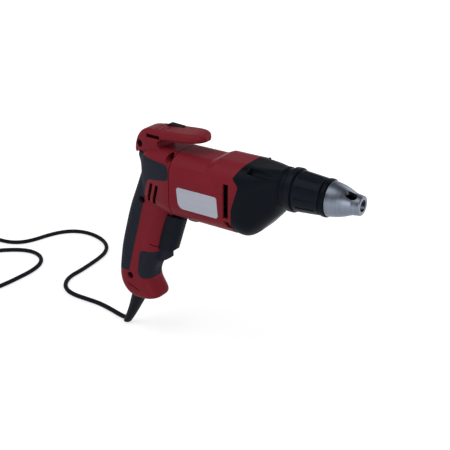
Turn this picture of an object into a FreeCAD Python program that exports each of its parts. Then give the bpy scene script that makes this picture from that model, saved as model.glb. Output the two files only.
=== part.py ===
"""Corded drywall screwdriver: pistol grip, hook, motor, gears, push-in clutch and depth stop.

Frame: origin in the middle of the grip, +X along the spindle to the nose, +Y left, +Z up. Millimetres.
"""
import FreeCAD
import Part
import Sketcher
import math
import os
import re

# Driving dimensions, one row of the sheet each: name, value, what it is.
SIZES = [
    ("axis_up", 105, "spindle axis above the grip's middle"),
    ("nose_x", 259, "nose tip ahead of the grip's middle"),
    ("overrun", 40, "how far a cutting tool passes the part that it cuts"),
    ("seat_gap", 0.3, "gap between a piece and the pocket that holds it"),
    ("run_gap", 0.05, "radial gap of a running fit"),
    ("gear_module", 0.8, "module of the gear pair"),
    ("pinion_teeth", 10, "teeth on the armature shaft"),
    ("wheel_teeth", 40, "teeth on the drive gear"),
    ("tooth_play", 0.12, "backlash taken off each tooth"),
    ("housing_half_width", 32.5, "motor housing, half its width"),
    ("housing_rise", 36, "motor housing, top above the motor axis"),
    ("housing_drop", 36, "motor housing, bottom below the motor axis"),
    ("housing_corner", 22, "motor housing, corner radius"),
    ("housing_wall", 2.6, "motor housing, wall"),
    ("ridge_low", 12, "ridges along the housing's shoulders, foot above the motor axis"),
    ("ridge_up", 26, "ridges, crest above the motor axis"),
    ("ridge_in", 1.7, "ridges, crest in from the housing's side"),
    ("ridge_fade", 1.7, "ridges, how far the crest sinks at the rear"),
    ("ridge_back_x", 57, "ridges, rear end"),
    ("ridge_front_x", 104, "ridges, front end"),
    ("housing_rear_x", 54, "joint of motor housing and handle shells"),
    ("joint_groove", 0.8, "groove between motor housing and handle shells"),
    ("step_x", 96, "where the motor housing's top begins to swell"),
    ("step_run", 9, "length of that swell"),
    ("step_rise", 4, "height of that swell"),
    ("seam_x", 131, "joint of motor housing and gear case"),
    ("tongue_reach", 8, "side tongue of the motor housing, forward reach"),
    ("tongue_low", -4, "side tongue, start above the motor axis"),
    ("tongue_tip", 22, "side tongue, tip above the motor axis"),
    ("tongue_high", 29, "side tongue, end above the motor axis"),
    ("tongue_radius", 5, "side tongue, rounding"),
    ("seam_lean", 6, "how far the seam leans forward over the top"),
    ("vent_x", 124.5, "air outlet slot, place"),
    ("vent_width", 6.4, "air outlet slot, width"),
    ("vent_low", -15, "air outlet slot, lower end above the motor axis"),
    ("vent_high", 22, "air outlet slot, upper end above the motor axis"),
    ("vent_foot_low", -25, "small lower outlet slot, lower end"),
    ("vent_foot_high", -18.5, "small lower outlet slot, upper end"),
    ("vent_foot_lean", 4.5, "small lower outlet slot, forward lean"),
    ("shoulder_x", 142, "gear case, shoulder section"),
    ("shoulder_half_width", 32, "gear case, half width at the shoulder"),
    ("shoulder_rise", 19.6, "gear case, top above the spindle at the shoulder"),
    ("shoulder_drop", 56, "gear case, bottom below the spindle at the shoulder"),
    ("shoulder_corner", 21, "gear case, corner radius at the shoulder"),
    ("flank_x", 156, "gear case, middle section"),
    ("flank_half_width", 28.5, "gear case, half width at the middle"),
    ("flank_rise", 19.2, "gear case, top above the spindle at the middle"),
    ("flank_drop", 47.5, "gear case, bottom below the spindle at the middle"),
    ("flank_corner", 19, "gear case, corner radius at the middle"),
    ("throat_x", 168, "gear case, front section"),
    ("throat_half_width", 23, "gear case, half width at the front"),
    ("throat_rise", 19.2, "gear case, top above the spindle at the front"),
    ("throat_drop", 34.5, "gear case, bottom below the spindle at the front"),
    ("throat_corner", 17, "gear case, corner radius at the front"),
    ("case_wall", 2.4, "gear case, wall"),
    ("neck_x", 176.5, "gear case, start of the round neck"),
    ("neck_r", 20.2, "gear case, neck radius"),
    ("neck_share", 0.98, "gear case, corners of the neck's first section against its radius"),
    ("neck_end_x", 183.5, "gear case, front of the neck"),
    ("tube_r", 14.5, "gear case, tube that carries the depth collar"),
    ("tube_end_x", 206, "gear case, front end of that tube"),
    ("channel_y", 19.8, "upper case screws, distance from the middle"),
    ("channel_rise", 16.3, "upper case screws, height above the spindle"),
    ("channel_r", 4.2, "screw channel radius"),
    ("channel_x", 144, "screw channel, rear end"),
    ("low_screw_y", 13, "lower case screws, distance from the middle"),
    ("low_screw_drop", 49, "lower case screws, below the spindle"),
    ("case_screw_head_r", 3.6, "gear case screw, head radius"),
    ("case_screw_head", 3, "gear case screw, head height"),
    ("case_screw_r", 2, "gear case screw, shank radius"),
    ("case_screw_length", 8, "gear case screw, shank length"),
    ("flange_x", 184, "depth collar, rear face"),
    ("flange_length", 6.5, "depth collar, rear flange length"),
    ("flange_r", 22.6, "depth collar, rear flange radius"),
    ("collar_groove", 1.2, "depth collar, groove before the flange"),
    ("collar_groove_depth", 1.1, "depth collar, depth of that groove"),
    ("collar_rear_r", 20.9, "depth collar, radius at the rear"),
    ("collar_front_r", 18.6, "depth collar, radius at the front"),
    ("collar_front_x", 219.5, "depth collar, front face"),
    ("collar_round", 1, "depth collar, edge rounding"),
    ("depth_travel", 6, "depth stop, travel"),
    ("rib_count", 12, "depth collar, grip flutes"),
    ("rib_width", 2.4, "depth collar, flute width"),
    ("rib_depth", 0.9, "depth collar, flute depth"),
    ("rib_margin", 4, "depth collar, plain length before and after the flutes"),
    ("sleeve_x", 209, "nosepiece, rear end of its sleeve"),
    ("sleeve_r", 16, "nosepiece, sleeve radius"),
    ("sleeve_wall", 1.15, "nosepiece, sleeve wall"),
    ("ring_x", 220.6, "retaining ring, rear face"),
    ("ring_length", 5.2, "retaining ring, length"),
    ("ring_r", 19.3, "retaining ring, radius"),
    ("ring_round", 1.4, "retaining ring, edge rounding"),
    ("cone_x", 226.4, "nosepiece, base of the cone"),
    ("cone_r", 17.9, "nosepiece, base radius"),
    ("cone_crown", 1.6, "nosepiece, swell of the cone over a straight line"),
    ("cone_crown_radius", 60, "nosepiece, curve of that swell"),
    ("tip_length", 8.5, "nosepiece, length of the near-cylindrical tip"),
    ("tip_rear_r", 10.9, "nosepiece, tip radius at its rear"),
    ("tip_r", 9.7, "nosepiece, tip radius at its front"),
    ("tip_round", 1.1, "nosepiece, tip edge rounding"),
    ("nose_hole_r", 5.95, "nosepiece, hole at the tip"),
    ("nose_hole_length", 7, "nosepiece, length of that hole"),
    ("window_length", 11.5, "nosepiece window, length"),
    ("window_width", 8.4, "nosepiece window, width"),
    ("window_set_back", 10.3, "nosepiece window, middle behind the tip"),
    ("window_angle", 27, "nosepiece window, turned from straight up, degrees"),
    ("wheel_x", 150, "drive gear, rear face"),
    ("wheel_width", 8, "drive gear, width"),
    ("arbor_r", 4, "gear arbor radius"),
    ("pilot_r", 3, "pilot pin at the arbor's front"),
    ("pilot_length", 14, "pilot pin length"),
    ("dog_inner_r", 8.6, "clutch dogs, inner radius"),
    ("dog_outer_r", 11.5, "clutch dogs, outer radius"),
    ("dog_length", 2.4, "clutch dogs, length"),
    ("dog_width", 4, "clutch dogs, width"),
    ("dog_count", 3, "clutch dogs on each side"),
    ("clutch_gap", 2.8, "gap of the clutch dogs at rest"),
    ("clutch_disc", 3, "spindle's clutch disc, thickness"),
    ("disc_gap", 0.5, "spindle's clutch disc, gap to the gear case"),
    ("push_travel", 2.5, "travel of the pushed spindle"),
    ("spring_pocket", 2, "spring pocket in the clutch disc, depth"),
    ("washer_thickness", 1, "thrust washer"),
    ("washer_r", 7, "thrust washer radius"),
    ("spring_r", 5.6, "clutch spring, middle radius"),
    ("spring_wire", 1, "clutch spring, wire diameter"),
    ("spring_turns", 3, "clutch spring, turns"),
    ("spring_play", 0.05, "springs, play of their arcs"),
    ("spindle_r", 6.5, "output spindle radius"),
    ("spindle_end_x", 213, "output spindle, front end"),
    ("bush_r", 10, "spindle bush, outer radius"),
    ("bush_x", 172, "spindle bush, rear end"),
    ("bush_length", 28, "spindle bush length"),
    ("hex_across", 6.35, "hexagon drive, across flats"),
    ("hex_gap", 0.1, "play of a hexagon in its socket, on the whole width"),
    ("holder_shank", 13, "bit holder, shank length"),
    ("holder_r", 5.4, "bit holder radius"),
    ("holder_end_x", 233, "bit holder, front end"),
    ("socket_depth", 12, "bit holder, socket depth"),
    ("bit_hex_length", 17.5, "screwdriver bit, hexagon length"),
    ("bit_neck_r", 2.4, "screwdriver bit, neck radius"),
    ("bit_recess", 5, "screwdriver bit, tip behind the nose"),
    ("bit_tip_r", 1, "screwdriver bit, tip radius"),
    ("bit_tip_length", 5, "screwdriver bit, tapered tip length"),
    ("shaft_r", 4, "armature shaft radius"),
    ("shaft_rear_x", 9, "armature shaft, rear end"),
    ("pinion_x", 148.8, "pinion, rear end"),
    ("pinion_length", 10.2, "pinion, length"),
    ("bearing_r", 11, "armature bearings, outer radius"),
    ("bearing_width", 6, "armature bearings, width"),
    ("bearing_groove", 0.6, "armature bearings, shield groove depth"),
    ("arbor_bearing_r", 8, "arbor bearing, outer radius"),
    ("plate_x", 140.6, "gear plate, rear face"),
    ("plate_width", 6, "gear plate, thickness"),
    ("rear_plate_x", 11.5, "rear bearing holder, rear face"),
    ("core_x", 58, "armature and stator cores, rear face"),
    ("core_length", 42, "armature and stator cores, length"),
    ("core_r", 18, "armature core radius"),
    ("core_slots", 12, "armature core, slots"),
    ("core_slot_width", 2.4, "armature core, slot width"),
    ("core_slot_depth", 6, "armature core, slot depth"),
    ("air_gap", 0.6, "gap of armature and stator"),
    ("addendum_share", 0.9, "tooth height above the pitch circle, in modules"),
    ("dedendum_share", 1.2, "tooth depth below the pitch circle, in modules"),
    ("winding_r", 15.5, "armature windings, radius"),
    ("winding_length", 8, "armature windings, length beyond the core"),
    ("commutator_x", 28, "commutator, rear end"),
    ("commutator_length", 16, "commutator length"),
    ("commutator_r", 10.5, "commutator radius"),
    ("coil_depth", 7.5, "stator coils, radial depth"),
    ("coil_overhang", 8, "stator coils, length beyond the core"),
    ("coil_spread", 110, "stator coils, angle that each covers, degrees"),
    ("fan_x", 112, "fan, rear end"),
    ("fan_length", 11, "fan length"),
    ("fan_r", 27, "fan radius"),
    ("fan_hub_r", 8, "fan hub radius"),
    ("fan_disc", 1.8, "fan disc, thickness"),
    ("fan_blades", 11, "fan blades"),
    ("blade_thickness", 1.5, "fan blade thickness"),
    ("brush_plate_x", 46, "brush plate, rear face"),
    ("brush_plate_width", 3, "brush plate, thickness"),
    ("brush_plate_hole_r", 19, "brush plate, middle hole"),
    ("brush_width", 8, "carbon brush, width along the shaft"),
    ("brush_height", 6, "carbon brush, height"),
    ("brush_length", 11, "carbon brush, length"),
    ("brush_gap", 0.2, "carbon brush, gap to the commutator"),
    ("holder_gap", 2.2, "brush holder, gap to the commutator"),
    ("holder_wall", 1.2, "brush holder, wall"),
    ("holder_length", 11.4, "brush holder, length"),
    ("rear_near_x", 39, "handle shells, first section behind the motor housing"),
    ("rear_near_half_width", 30, "handle shells, half width there"),
    ("rear_near_rise", 35.8, "handle shells, top above the motor axis there"),
    ("rear_near_drop", 35.2, "handle shells, bottom below the motor axis there"),
    ("rear_near_corner", 20, "handle shells, corner radius there"),
    ("rear_far_x", 24, "handle shells, second section behind the motor housing"),
    ("rear_far_half_width", 25.8, "handle shells, half width at the second"),
    ("rear_far_rise", 34.6, "handle shells, top above the motor axis at the second"),
    ("rear_far_drop", 33, "handle shells, bottom below the motor axis at the second"),
    ("rear_far_corner", 17, "handle shells, corner radius at the second"),
    ("web_x", 10.5, "web of the hand, section"),
    ("web_half_width", 20.3, "web of the hand, half width"),
    ("web_rise", 31, "web of the hand, top above the motor axis"),
    ("web_drop", 29.5, "web of the hand, bottom below the motor axis"),
    ("web_corner", 13.5, "web of the hand, corner radius"),
    ("web_end_x", 1.5, "web of the hand, rearmost face"),
    ("web_end_half_width", 11, "web of the hand, half width of that face"),
    ("web_end_rise", 22, "web of the hand, top of that face above the motor axis"),
    ("web_end_drop", 22, "web of the hand, bottom of that face below the motor axis"),
    ("web_end_corner", 9, "web of the hand, corner radius of that face"),
    ("grip0_up", -71, "grip, lowest slice, height"),
    ("grip0_back", -21, "grip, lowest slice, back"),
    ("grip0_front", 1, "grip, lowest slice, front"),
    ("grip0_half_width", 14, "grip, lowest slice, half width"),
    ("grip0_corner", 10.5, "grip, lowest slice, corner radius"),
    ("grip1_up", -58, "grip, heel slice, height"),
    ("grip1_back", -35.5, "grip, heel slice, back"),
    ("grip1_front", 15.5, "grip, heel slice, front"),
    ("grip1_half_width", 17.4, "grip, heel slice, half width"),
    ("grip1_corner", 13, "grip, heel slice, corner radius"),
    ("grip2_up", -40.5, "grip, slice over the heel, height"),
    ("grip2_back", -38, "grip, slice over the heel, back"),
    ("grip2_front", 8.8, "grip, slice over the heel, front"),
    ("grip2_half_width", 17, "grip, slice over the heel, half width"),
    ("grip2_corner", 12.5, "grip, slice over the heel, corner radius"),
    ("grip3_up", -23, "grip, slice below the middle, height"),
    ("grip3_back", -35.7, "grip, slice below the middle, back"),
    ("grip3_front", 15, "grip, slice below the middle, front"),
    ("grip3_half_width", 16.8, "grip, slice below the middle, half width"),
    ("grip3_corner", 12.5, "grip, slice below the middle, corner radius"),
    ("grip4_up", -5.5, "grip, middle slice, height"),
    ("grip4_back", -32.3, "grip, middle slice, back"),
    ("grip4_front", 19.5, "grip, middle slice, front"),
    ("grip4_half_width", 17, "grip, middle slice, half width"),
    ("grip4_corner", 12.5, "grip, middle slice, corner radius"),
    ("grip5_up", 12, "grip, slice above the middle, height"),
    ("grip5_back", -27.6, "grip, slice above the middle, back"),
    ("grip5_front", 23.6, "grip, slice above the middle, front"),
    ("grip5_half_width", 17, "grip, slice above the middle, half width"),
    ("grip5_corner", 12.5, "grip, slice above the middle, corner radius"),
    ("grip6_up", 29.5, "grip, slice behind the trigger, height"),
    ("grip6_back", -22.6, "grip, slice behind the trigger, back"),
    ("grip6_front", 29, "grip, slice behind the trigger, front"),
    ("grip6_half_width", 17, "grip, slice behind the trigger, half width"),
    ("grip6_corner", 12.5, "grip, slice behind the trigger, corner radius"),
    ("grip7_up", 47, "grip, slice under the rear body, height"),
    ("grip7_back", -16.5, "grip, slice under the rear body, back"),
    ("grip7_front", 35, "grip, slice under the rear body, front"),
    ("grip7_half_width", 17.7, "grip, slice under the rear body, half width"),
    ("grip7_corner", 12.5, "grip, slice under the rear body, corner radius"),
    ("grip8_up", 64.5, "grip, slice inside the rear body, height"),
    ("grip8_back", -9, "grip, slice inside the rear body, back"),
    ("grip8_front", 40.5, "grip, slice inside the rear body, front"),
    ("grip8_half_width", 18.5, "grip, slice inside the rear body, half width"),
    ("grip8_corner", 12.5, "grip, slice inside the rear body, corner radius"),
    ("grip9_up", 82, "grip, slice at the web of the hand, height"),
    ("grip9_back", -3.2, "grip, slice at the web, back"),
    ("grip9_front", 38, "grip, slice at the web, front"),
    ("grip9_half_width", 16.5, "grip, slice at the web, half width"),
    ("grip9_corner", 12.2, "grip, slice at the web, corner radius"),
    ("grip10_up", 99.5, "grip, slice over the web, height"),
    ("grip10_back", 2, "grip, slice over the web, back"),
    ("grip10_front", 36, "grip, slice over the web, front"),
    ("grip10_half_width", 14.4, "grip, slice over the web, half width"),
    ("grip10_corner", 11, "grip, slice over the web, corner radius"),
    ("grip11_up", 117, "grip, slice in the hook's root, height"),
    ("grip11_back", -6.2, "grip, slice in the hook's root, back"),
    ("grip11_front", 28, "grip, slice in the hook's root, front"),
    ("grip11_half_width", 12.2, "grip, slice in the hook's root, half width"),
    ("grip11_corner", 8.5, "grip, slice in the hook's root, corner radius"),
    ("shell_wall", 3.6, "handle shells, wall with its rubber"),
    ("rubber_depth", 1.8, "grip rubber, thickness"),
    ("grip_top", 110.5, "rear rubber, upper edge"),
    ("lobe_x", 52.8, "rear rubber, tip of the side lobe"),
    ("lobe_round", 7, "rear rubber, rounding over the lobe's tip"),
    ("lobe_low", 94.5, "rear rubber, underside of the lobe at its tip"),
    ("lobe_under_round", 5, "rear rubber, rounding under the lobe's tip"),
    ("lobe_root_x", 20.5, "rear rubber, root of the lobe"),
    ("lobe_root_up", 87, "rear rubber, underside of the lobe at its root"),
    ("grip_edge_a_x", 16, "rear rubber, front edge under the lobe"),
    ("grip_edge_a_up", 79, "rear rubber, height of that point"),
    ("grip_edge_b_x", 2, "rear rubber, front edge behind the switch"),
    ("grip_edge_b_up", 38, "rear rubber, height of that point"),
    ("grip_edge_c_x", -16, "rear rubber, front edge at the palm"),
    ("grip_edge_c_up", -26, "rear rubber, height of that point"),
    ("grip_end_x", -19, "rear rubber, front of its lower end"),
    ("grip_end_up", -38, "rear rubber, lower end"),
    ("slit_width", 1.3, "slits in the shells' sides, opening"),
    ("palm_slit_x", 12, "slit behind the trigger, rear end"),
    ("palm_slit_up", 5.3, "slit behind the trigger, height of that end"),
    ("palm_slit_length", 9.5, "slit behind the trigger, length"),
    ("palm_slit_fall", 5, "slit behind the trigger, fall of its front end"),
    ("heel_slit_x", -21.6, "slit at the heel, rear end"),
    ("heel_slit_up", -53.8, "slit at the heel, height of that end"),
    ("heel_slit_length", 17.4, "slit at the heel, length"),
    ("heel_slit_fall", 5.8, "slit at the heel, fall of its front end"),
    ("edge_round", 3, "rear rubber, rounding of its front edge"),
    ("finger_top", -6, "front rubber, upper edge"),
    ("finger_low", -43, "front rubber, lower edge"),
    ("finger_x", -2, "front rubber, rear edge at the top"),
    ("finger_low_x", -7.5, "front rubber, rear edge at the bottom"),
    ("finger_round", 8, "front rubber, rounding of its corners"),
    ("stop_x", 31.5, "finger stop, tip"),
    ("stop_top", -3.6, "finger stop, upper edge"),
    ("stop_low", -20, "finger stop, lower end"),
    ("stop_tip_low", -13, "finger stop, lower edge of the tip"),
    ("stop_half_width", 6.8, "finger stop, half width"),
    ("stop_round", 3.4, "finger stop, rounding"),
    ("trigger_half_width", 9.3, "trigger, half width"),
    ("trigger_top", 41.5, "trigger, top edge"),
    ("trigger_bottom", -2.5, "trigger, bottom edge"),
    ("trigger_front_top", 52.5, "trigger, front at the top"),
    ("trigger_front_bottom", 38.5, "trigger, front at the bottom"),
    ("trigger_rear_top", 22, "trigger, rear at the top"),
    ("trigger_rear_bottom", 10, "trigger, rear at the bottom"),
    ("trigger_round", 4.6, "trigger, edge rounding"),
    ("trigger_edge", 8.4, "trigger, rounding across its front"),
    ("trigger_travel", 6, "trigger travel"),
    ("plunger_up", 18, "trigger plunger, height"),
    ("plunger_r", 2.8, "trigger plunger radius"),
    ("plunger_reach", 15, "trigger plunger, length behind the trigger's middle"),
    ("trigger_spring_r", 4.2, "trigger spring, middle radius"),
    ("trigger_spring_wire", 0.8, "trigger spring, wire diameter"),
    ("trigger_spring_turns", 4, "trigger spring, turns"),
    ("switch_bottom", 0, "switch, bottom"),
    ("switch_top", 34, "switch, top"),
    ("switch_depth", 21, "switch, depth"),
    ("switch_gap", 8, "gap of switch and trigger at rest"),
    ("capacitor_height", 12, "capacitor, height"),
    ("capacitor_depth", 15, "capacitor, depth"),
    ("capacitor_half_width", 8, "capacitor, half width"),
    ("lever_pivot_x", 43, "reversing lever, pivot"),
    ("lever_pin_r", 2.2, "reversing lever, pin radius"),
    ("lever_tip_x", 63.5, "reversing lever, tip"),
    ("lever_half_width", 4.5, "reversing lever, half width"),
    ("lever_bottom", 43.2, "reversing lever, underside"),
    ("lever_thickness", 5, "reversing lever, thickness"),
    ("lever_pin_reach", 5, "reversing lever, pin length in the shells"),
    ("slide_x", 25.6, "crown slide, rear end"),
    ("slide_length", 18.2, "crown slide, length"),
    ("slide_y", 9.4, "crown slide, distance left of the middle"),
    ("slide_half_width", 4, "crown slide, half width"),
    ("slide_top", 141.4, "crown slide, top"),
    ("slide_ramp", 0.8, "crown slide, fall of its top towards the front"),
    ("slide_floor", 138.6, "floor of the crown slide's track"),
    ("slide_travel", 3, "crown slide, travel each way"),
    ("slide_foot_half_width", 2, "crown slide, half width of its foot"),
    ("slide_foot_depth", 3, "crown slide, depth of its foot"),
    ("column_half_width", 15, "hook root, half width"),
    ("column_foot", 110.5, "hook root, lower end inside the shells"),
    ("column_x", -6.4, "hook root, rear face"),
    ("column_pitch", 12.45, "hook root, distance of its sections"),
    ("column_back_half_width", 10.5, "hook root, half width of its rear face"),
    ("column_back_low", 107.8, "hook root, lower edge of its rear face"),
    ("column_back_high", 117, "hook root, upper edge of its rear face"),
    ("column_back_corner", 4, "hook root, corner radius of its rear face"),
    ("column_mid_half_width", 14, "hook root, half width at its second section"),
    ("column_mid_high", 136.8, "hook root, top of its second section"),
    ("column_corner", 6, "hook root, corner radius"),
    ("tongue_x", 18, "hook tongue, first section inside the root"),
    ("tongue_pitch", 12.9, "hook tongue, distance of its sections"),
    ("hook_top", 139, "hook tongue, top of its first section"),
    ("hook_low", 127.5, "hook tongue, underside of its first section"),
    ("hook_gap_r", 4.6, "hook, radius of the gap's rear end"),
    ("hook_gap_up", 124.6, "hook, middle of the gap's rear end"),
    ("hook_rise", 0.8, "hook tongue, rise of the top from section to section"),
    ("hook_lift", 1.2, "hook tongue, rise of the underside from section to section"),
    ("hook_half_width", 15.2, "hook tongue, half width at its root"),
    ("hook_flare", 0.35, "hook tongue, gain of half width from section to section"),
    ("hook_corner", 4.5, "hook tongue, corner radius"),
    ("hook_front_half_width", 15, "hook tongue, half width before its tip"),
    ("hook_tip_half_width", 4.4, "hook tongue, half width of its tip"),
    ("hook_tip_drop", 3.4, "hook tongue, fall of the top at its tip"),
    ("hook_tip_corner", 1.6, "hook tongue, corner radius of its tip"),
    ("groove_x", 21.4, "hook, first grip groove"),
    ("groove_pitch", 5.6, "hook, spacing of the grip grooves"),
    ("groove_count", 3, "hook, grip grooves"),
    ("groove_width", 1, "hook, width of a grip groove"),
    ("groove_depth", 0.8, "hook, depth of a grip groove"),
    ("groove_half_width", 11, "hook, reach of a grip groove to the right"),
    ("hook_slot_x", 12, "hook root slot, rear end"),
    ("hook_slot_length", 18, "hook root slot, length"),
    ("hook_slot_up", 130, "hook root slot, height"),
    ("hook_slot_height", 4, "hook root slot, opening"),
    ("hook_slot_depth", 6, "hook root slot, depth"),
    ("inlet_width", 5, "air inlet slot, width"),
    ("inlet_top", 84, "air inlet slots, upper end"),
    ("inlet_height", 24, "air inlet slots, height"),
    ("inlet_lean", 7.5, "air inlet slots, lean towards the back"),
    ("inlet_x", 26, "rear air inlet slot, upper end"),
    ("inlet_pitch", 9.2, "spacing of the air inlet slots"),
    ("shell_screw_r", 1.9, "shell screw, shank radius"),
    ("shell_screw_head_r", 3.9, "shell screw, head radius"),
    ("shell_screw_head", 2.4, "shell screw, head height"),
    ("shell_screw_reach", 9, "shell screw, reach each side of the joint"),
    ("boss_r", 5.2, "screw boss radius"),
    ("hook_screw_x", 1.6, "shell screw in the hook's root, place"),
    ("hook_screw_up", 120.4, "shell screw in the hook's root, height"),
    ("top_screw_x", 49.2, "shell screw under the hook, place"),
    ("top_screw_up", 116.2, "shell screw under the hook, height"),
    ("neck_screw_x", 5.6, "shell screw behind the air inlets, place"),
    ("neck_screw_up", 57.4, "shell screw behind the air inlets, height"),
    ("heel_screw_x", -17.5, "shell screw at the heel, place"),
    ("heel_screw_up", -43.5, "shell screw at the heel, height"),
    ("plate_left_x", 63.5, "nameplate, left edge"),
    ("plate_length", 50, "nameplate, length"),
    ("plate_low", -17.5, "nameplate, lower edge above the motor axis"),
    ("plate_height", 23, "nameplate, height"),
    ("plate_slant", 2.4, "nameplate, slant of its ends"),
    ("plate_corner", 3, "nameplate, corner radius"),
    ("plate_big_corner", 8, "nameplate, lower left corner radius"),
    ("plate_thickness", 0.4, "nameplate, thickness"),
    ("floor_drop", 121, "surface that the cord lies on, below the grip's middle"),
    ("cord_d", 5.7, "mains cord diameter"),
    ("bend_share", 0.45, "cord, how much of a run each of its bends takes"),
    ("boot_top", -67.5, "strain relief, upper end"),
    ("boot_end", -111.2, "strain relief, lower end"),
    ("boot_top_x", -15.5, "strain relief, middle at its upper end"),
    ("boot_end_x", -37.3, "strain relief, middle at its lower end"),
    ("boot_top_r", 10.5, "strain relief, radius at its upper end"),
    ("boot_end_r", 4.6, "strain relief, radius at its lower end"),
    ("boot_bow", 2.4, "strain relief, bow of its middle line"),
    ("boot_tip", 6, "strain relief, length of its tip along the cord"),
    ("cord_fall", 6.7, "cord, length of its first run out of the strain relief"),
    ("cord_lean", 4.4, "cord, backward lean of that run"),
    ("lead_in", 11, "cord, length of its last run into the coil"),
    ("boot_flange_r", 12.5, "strain relief, flange held by the shells"),
    ("boot_flange", 3, "strain relief, flange thickness"),
    ("coil_x", -282, "cord coil, middle"),
    ("coil_y", -95, "cord coil, middle"),
    ("coil_r", 45, "cord coil, outermost turn"),
    ("coil_pitch", 6.2, "cord coil, distance of turns and layers"),
    ("coil_in_turns", 3.5, "cord coil, turns of the lower layer"),
    ("coil_climb_turns", 0.5, "put-away coil, turns that it takes to climb"),
    ("coil_out_turns", 3.25, "cord coil, turns of the upper layer"),
    ("coil_tuck", 0.9, "cord coil, how far the turn tucks in where it climbs"),
    ("arc_play", 0.2, "cord coil, how far its arcs may leave the true spiral"),
    ("tail_length", 60, "cord from the coil to the plug"),
    ("tail_bow", 1.6, "cord from the coil to the plug, sideways bow"),
    ("tie_thickness", 1.2, "coil tie, thickness"),
    ("tie_gap", 0.35, "coil tie, gap around the turns"),
    ("tie_corner", 3, "coil tie, corner radius"),
    ("tie_width", 8, "coil tie, width"),
    ("plug_length", 40, "plug body, length"),
    ("plug_width", 36, "plug body, width at the pins"),
    ("plug_height", 25, "plug body, height at the pins"),
    ("plug_rear_r", 5.5, "plug body, radius where the cord enters"),
    ("plug_front", 16, "plug body, length of its full-size front"),
    ("plug_corner", 10, "plug body, corner radius"),
    ("pin_r", 2.4, "plug pin radius"),
    ("pin_length", 19, "plug pin length"),
    ("pin_spacing", 19, "plug pin spacing"),
]

doc = FreeCAD.newDocument("drywall_screwdriver")
sheet = doc.addObject("Spreadsheet::Sheet", "Sizes")
for row, (alias, value, meaning) in enumerate(SIZES, 1):
    sheet.set(f"A{row}", meaning)
    sheet.set(f"B{row}", str(value))
    sheet.setAlias(f"B{row}", alias)
doc.recompute()

# Sizes that follow from the driving ones, written in their names.
DERIVED = {
    "motor_up": "axis_up - (pinion_teeth + wheel_teeth) * gear_module / 2",
    "wheel_front": "wheel_x + wheel_width",
    "disc_x": "wheel_x + wheel_width + 2 * dog_length + clutch_gap",
    "collar_x": "flange_x + flange_length + collar_groove",
    "bit_end": "nose_x - bit_recess",
    "plunger_x": "trigger_rear_bottom + (trigger_rear_top - trigger_rear_bottom)"
                 " * (plunger_up - trigger_bottom) / (trigger_top - trigger_bottom)",
    "floor_up": "-floor_drop",
    "cord_up": "cord_d / 2 - floor_drop",
}
NAMES = {alias for alias, value, meaning in SIZES}
GRIP_SLICES = 12
POINTS_PER_TURN = 12
vec = FreeCAD.Vector


def expression(text):
    """The text of a size, with each name tied to its cell of the sheet."""
    def tie(match):
        word = match[0]
        if word in DERIVED:
            return "(" + expression(DERIVED[word]) + ")"
        return "Sizes." + word if word in NAMES else word
    return re.sub(r"[A-Za-z_]\w*", tie, str(text))


def size(text):
    """The value of a size in millimetres."""
    return float(sheet.evalExpression(expression(text)))


def bind(thing, name, text):
    thing.setExpression(name, expression(text))
    return thing


def new_body(name):
    return doc.addObject("PartDesign::Body", name)


def sketch_on(body, role, name, away="0", along="0", up="0"):
    """A sketch on one of the body's own planes, moved off it, along it and up it."""
    plane = [feature for feature in body.Origin.OriginFeatures if feature.Role == role][0]
    sketch = body.newObject("Sketcher::SketchObject", name)
    sketch.AttachmentSupport = [(plane, "")]
    sketch.MapMode = "FlatFace"
    for axis, text in (("x", along), ("y", up), ("z", away)):
        bind(sketch, f"AttachmentOffset.Base.{axis}", text)
    return sketch


def pin_point(sketch, index, place, corner):
    """Ties a point of the sketch to the sizes that give its place."""
    for kind, text in (("DistanceX", corner[0]), ("DistanceY", corner[1])):
        tied = sketch.addConstraint(Sketcher.Constraint(kind, -1, 1, index, place, size(text)))
        bind(sketch, f"Constraints[{tied}]", text)


def outline(sketch, corners):
    """A closed outline of corners (x, y) or (x, y, rounding radius), each tied to named sizes."""
    points = [vec(size(corner[0]), size(corner[1]), 0) for corner in corners]
    count = len(points)
    ends = []
    for index, corner in enumerate(corners):
        back = (points[index - 1] - points[index]).normalize()
        ahead = (points[(index + 1) % count] - points[index]).normalize()
        half = back.getAngle(ahead) / 2
        radius = size(corner[2]) if len(corner) > 2 else 0
        reach = radius / math.tan(half)
        middle = points[index]
        if radius:
            middle = middle + (back + ahead).normalize() * (radius / math.sin(half) - radius)
        ends.append((points[index] + back * reach, middle, points[index] + ahead * reach, radius))
    lines = []
    for index in range(count):
        segment = Part.LineSegment(ends[index][2], ends[(index + 1) % count][0])
        lines.append(sketch.addGeometry(segment))
    for index, corner in enumerate(corners):
        before = lines[index - 1]
        after = lines[index]
        start, middle, end, radius = ends[index]
        if not radius:
            sketch.addConstraint(Sketcher.Constraint("Coincident", before, 2, after, 1))
            pin_point(sketch, after, 1, corner)
            continue
        arc = sketch.addGeometry(Part.Arc(start, middle, end))
        first = sketch.getPoint(arc, 1)
        in_order = (first - start).Length < (first - end).Length
        near, far = (1, 2) if in_order else (2, 1)
        sketch.addConstraint(Sketcher.Constraint("Tangent", before, 2, arc, near))
        sketch.addConstraint(Sketcher.Constraint("Tangent", arc, far, after, 1))
        tied = sketch.addConstraint(Sketcher.Constraint("Radius", arc, radius))
        bind(sketch, f"Constraints[{tied}]", corner[2])
        mark = sketch.addGeometry(Part.Point(points[index]), True)
        sketch.addConstraint(Sketcher.Constraint("PointOnObject", mark, 1, before))
        sketch.addConstraint(Sketcher.Constraint("PointOnObject", mark, 1, after))
        pin_point(sketch, mark, 1, corner)
    return sketch


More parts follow.
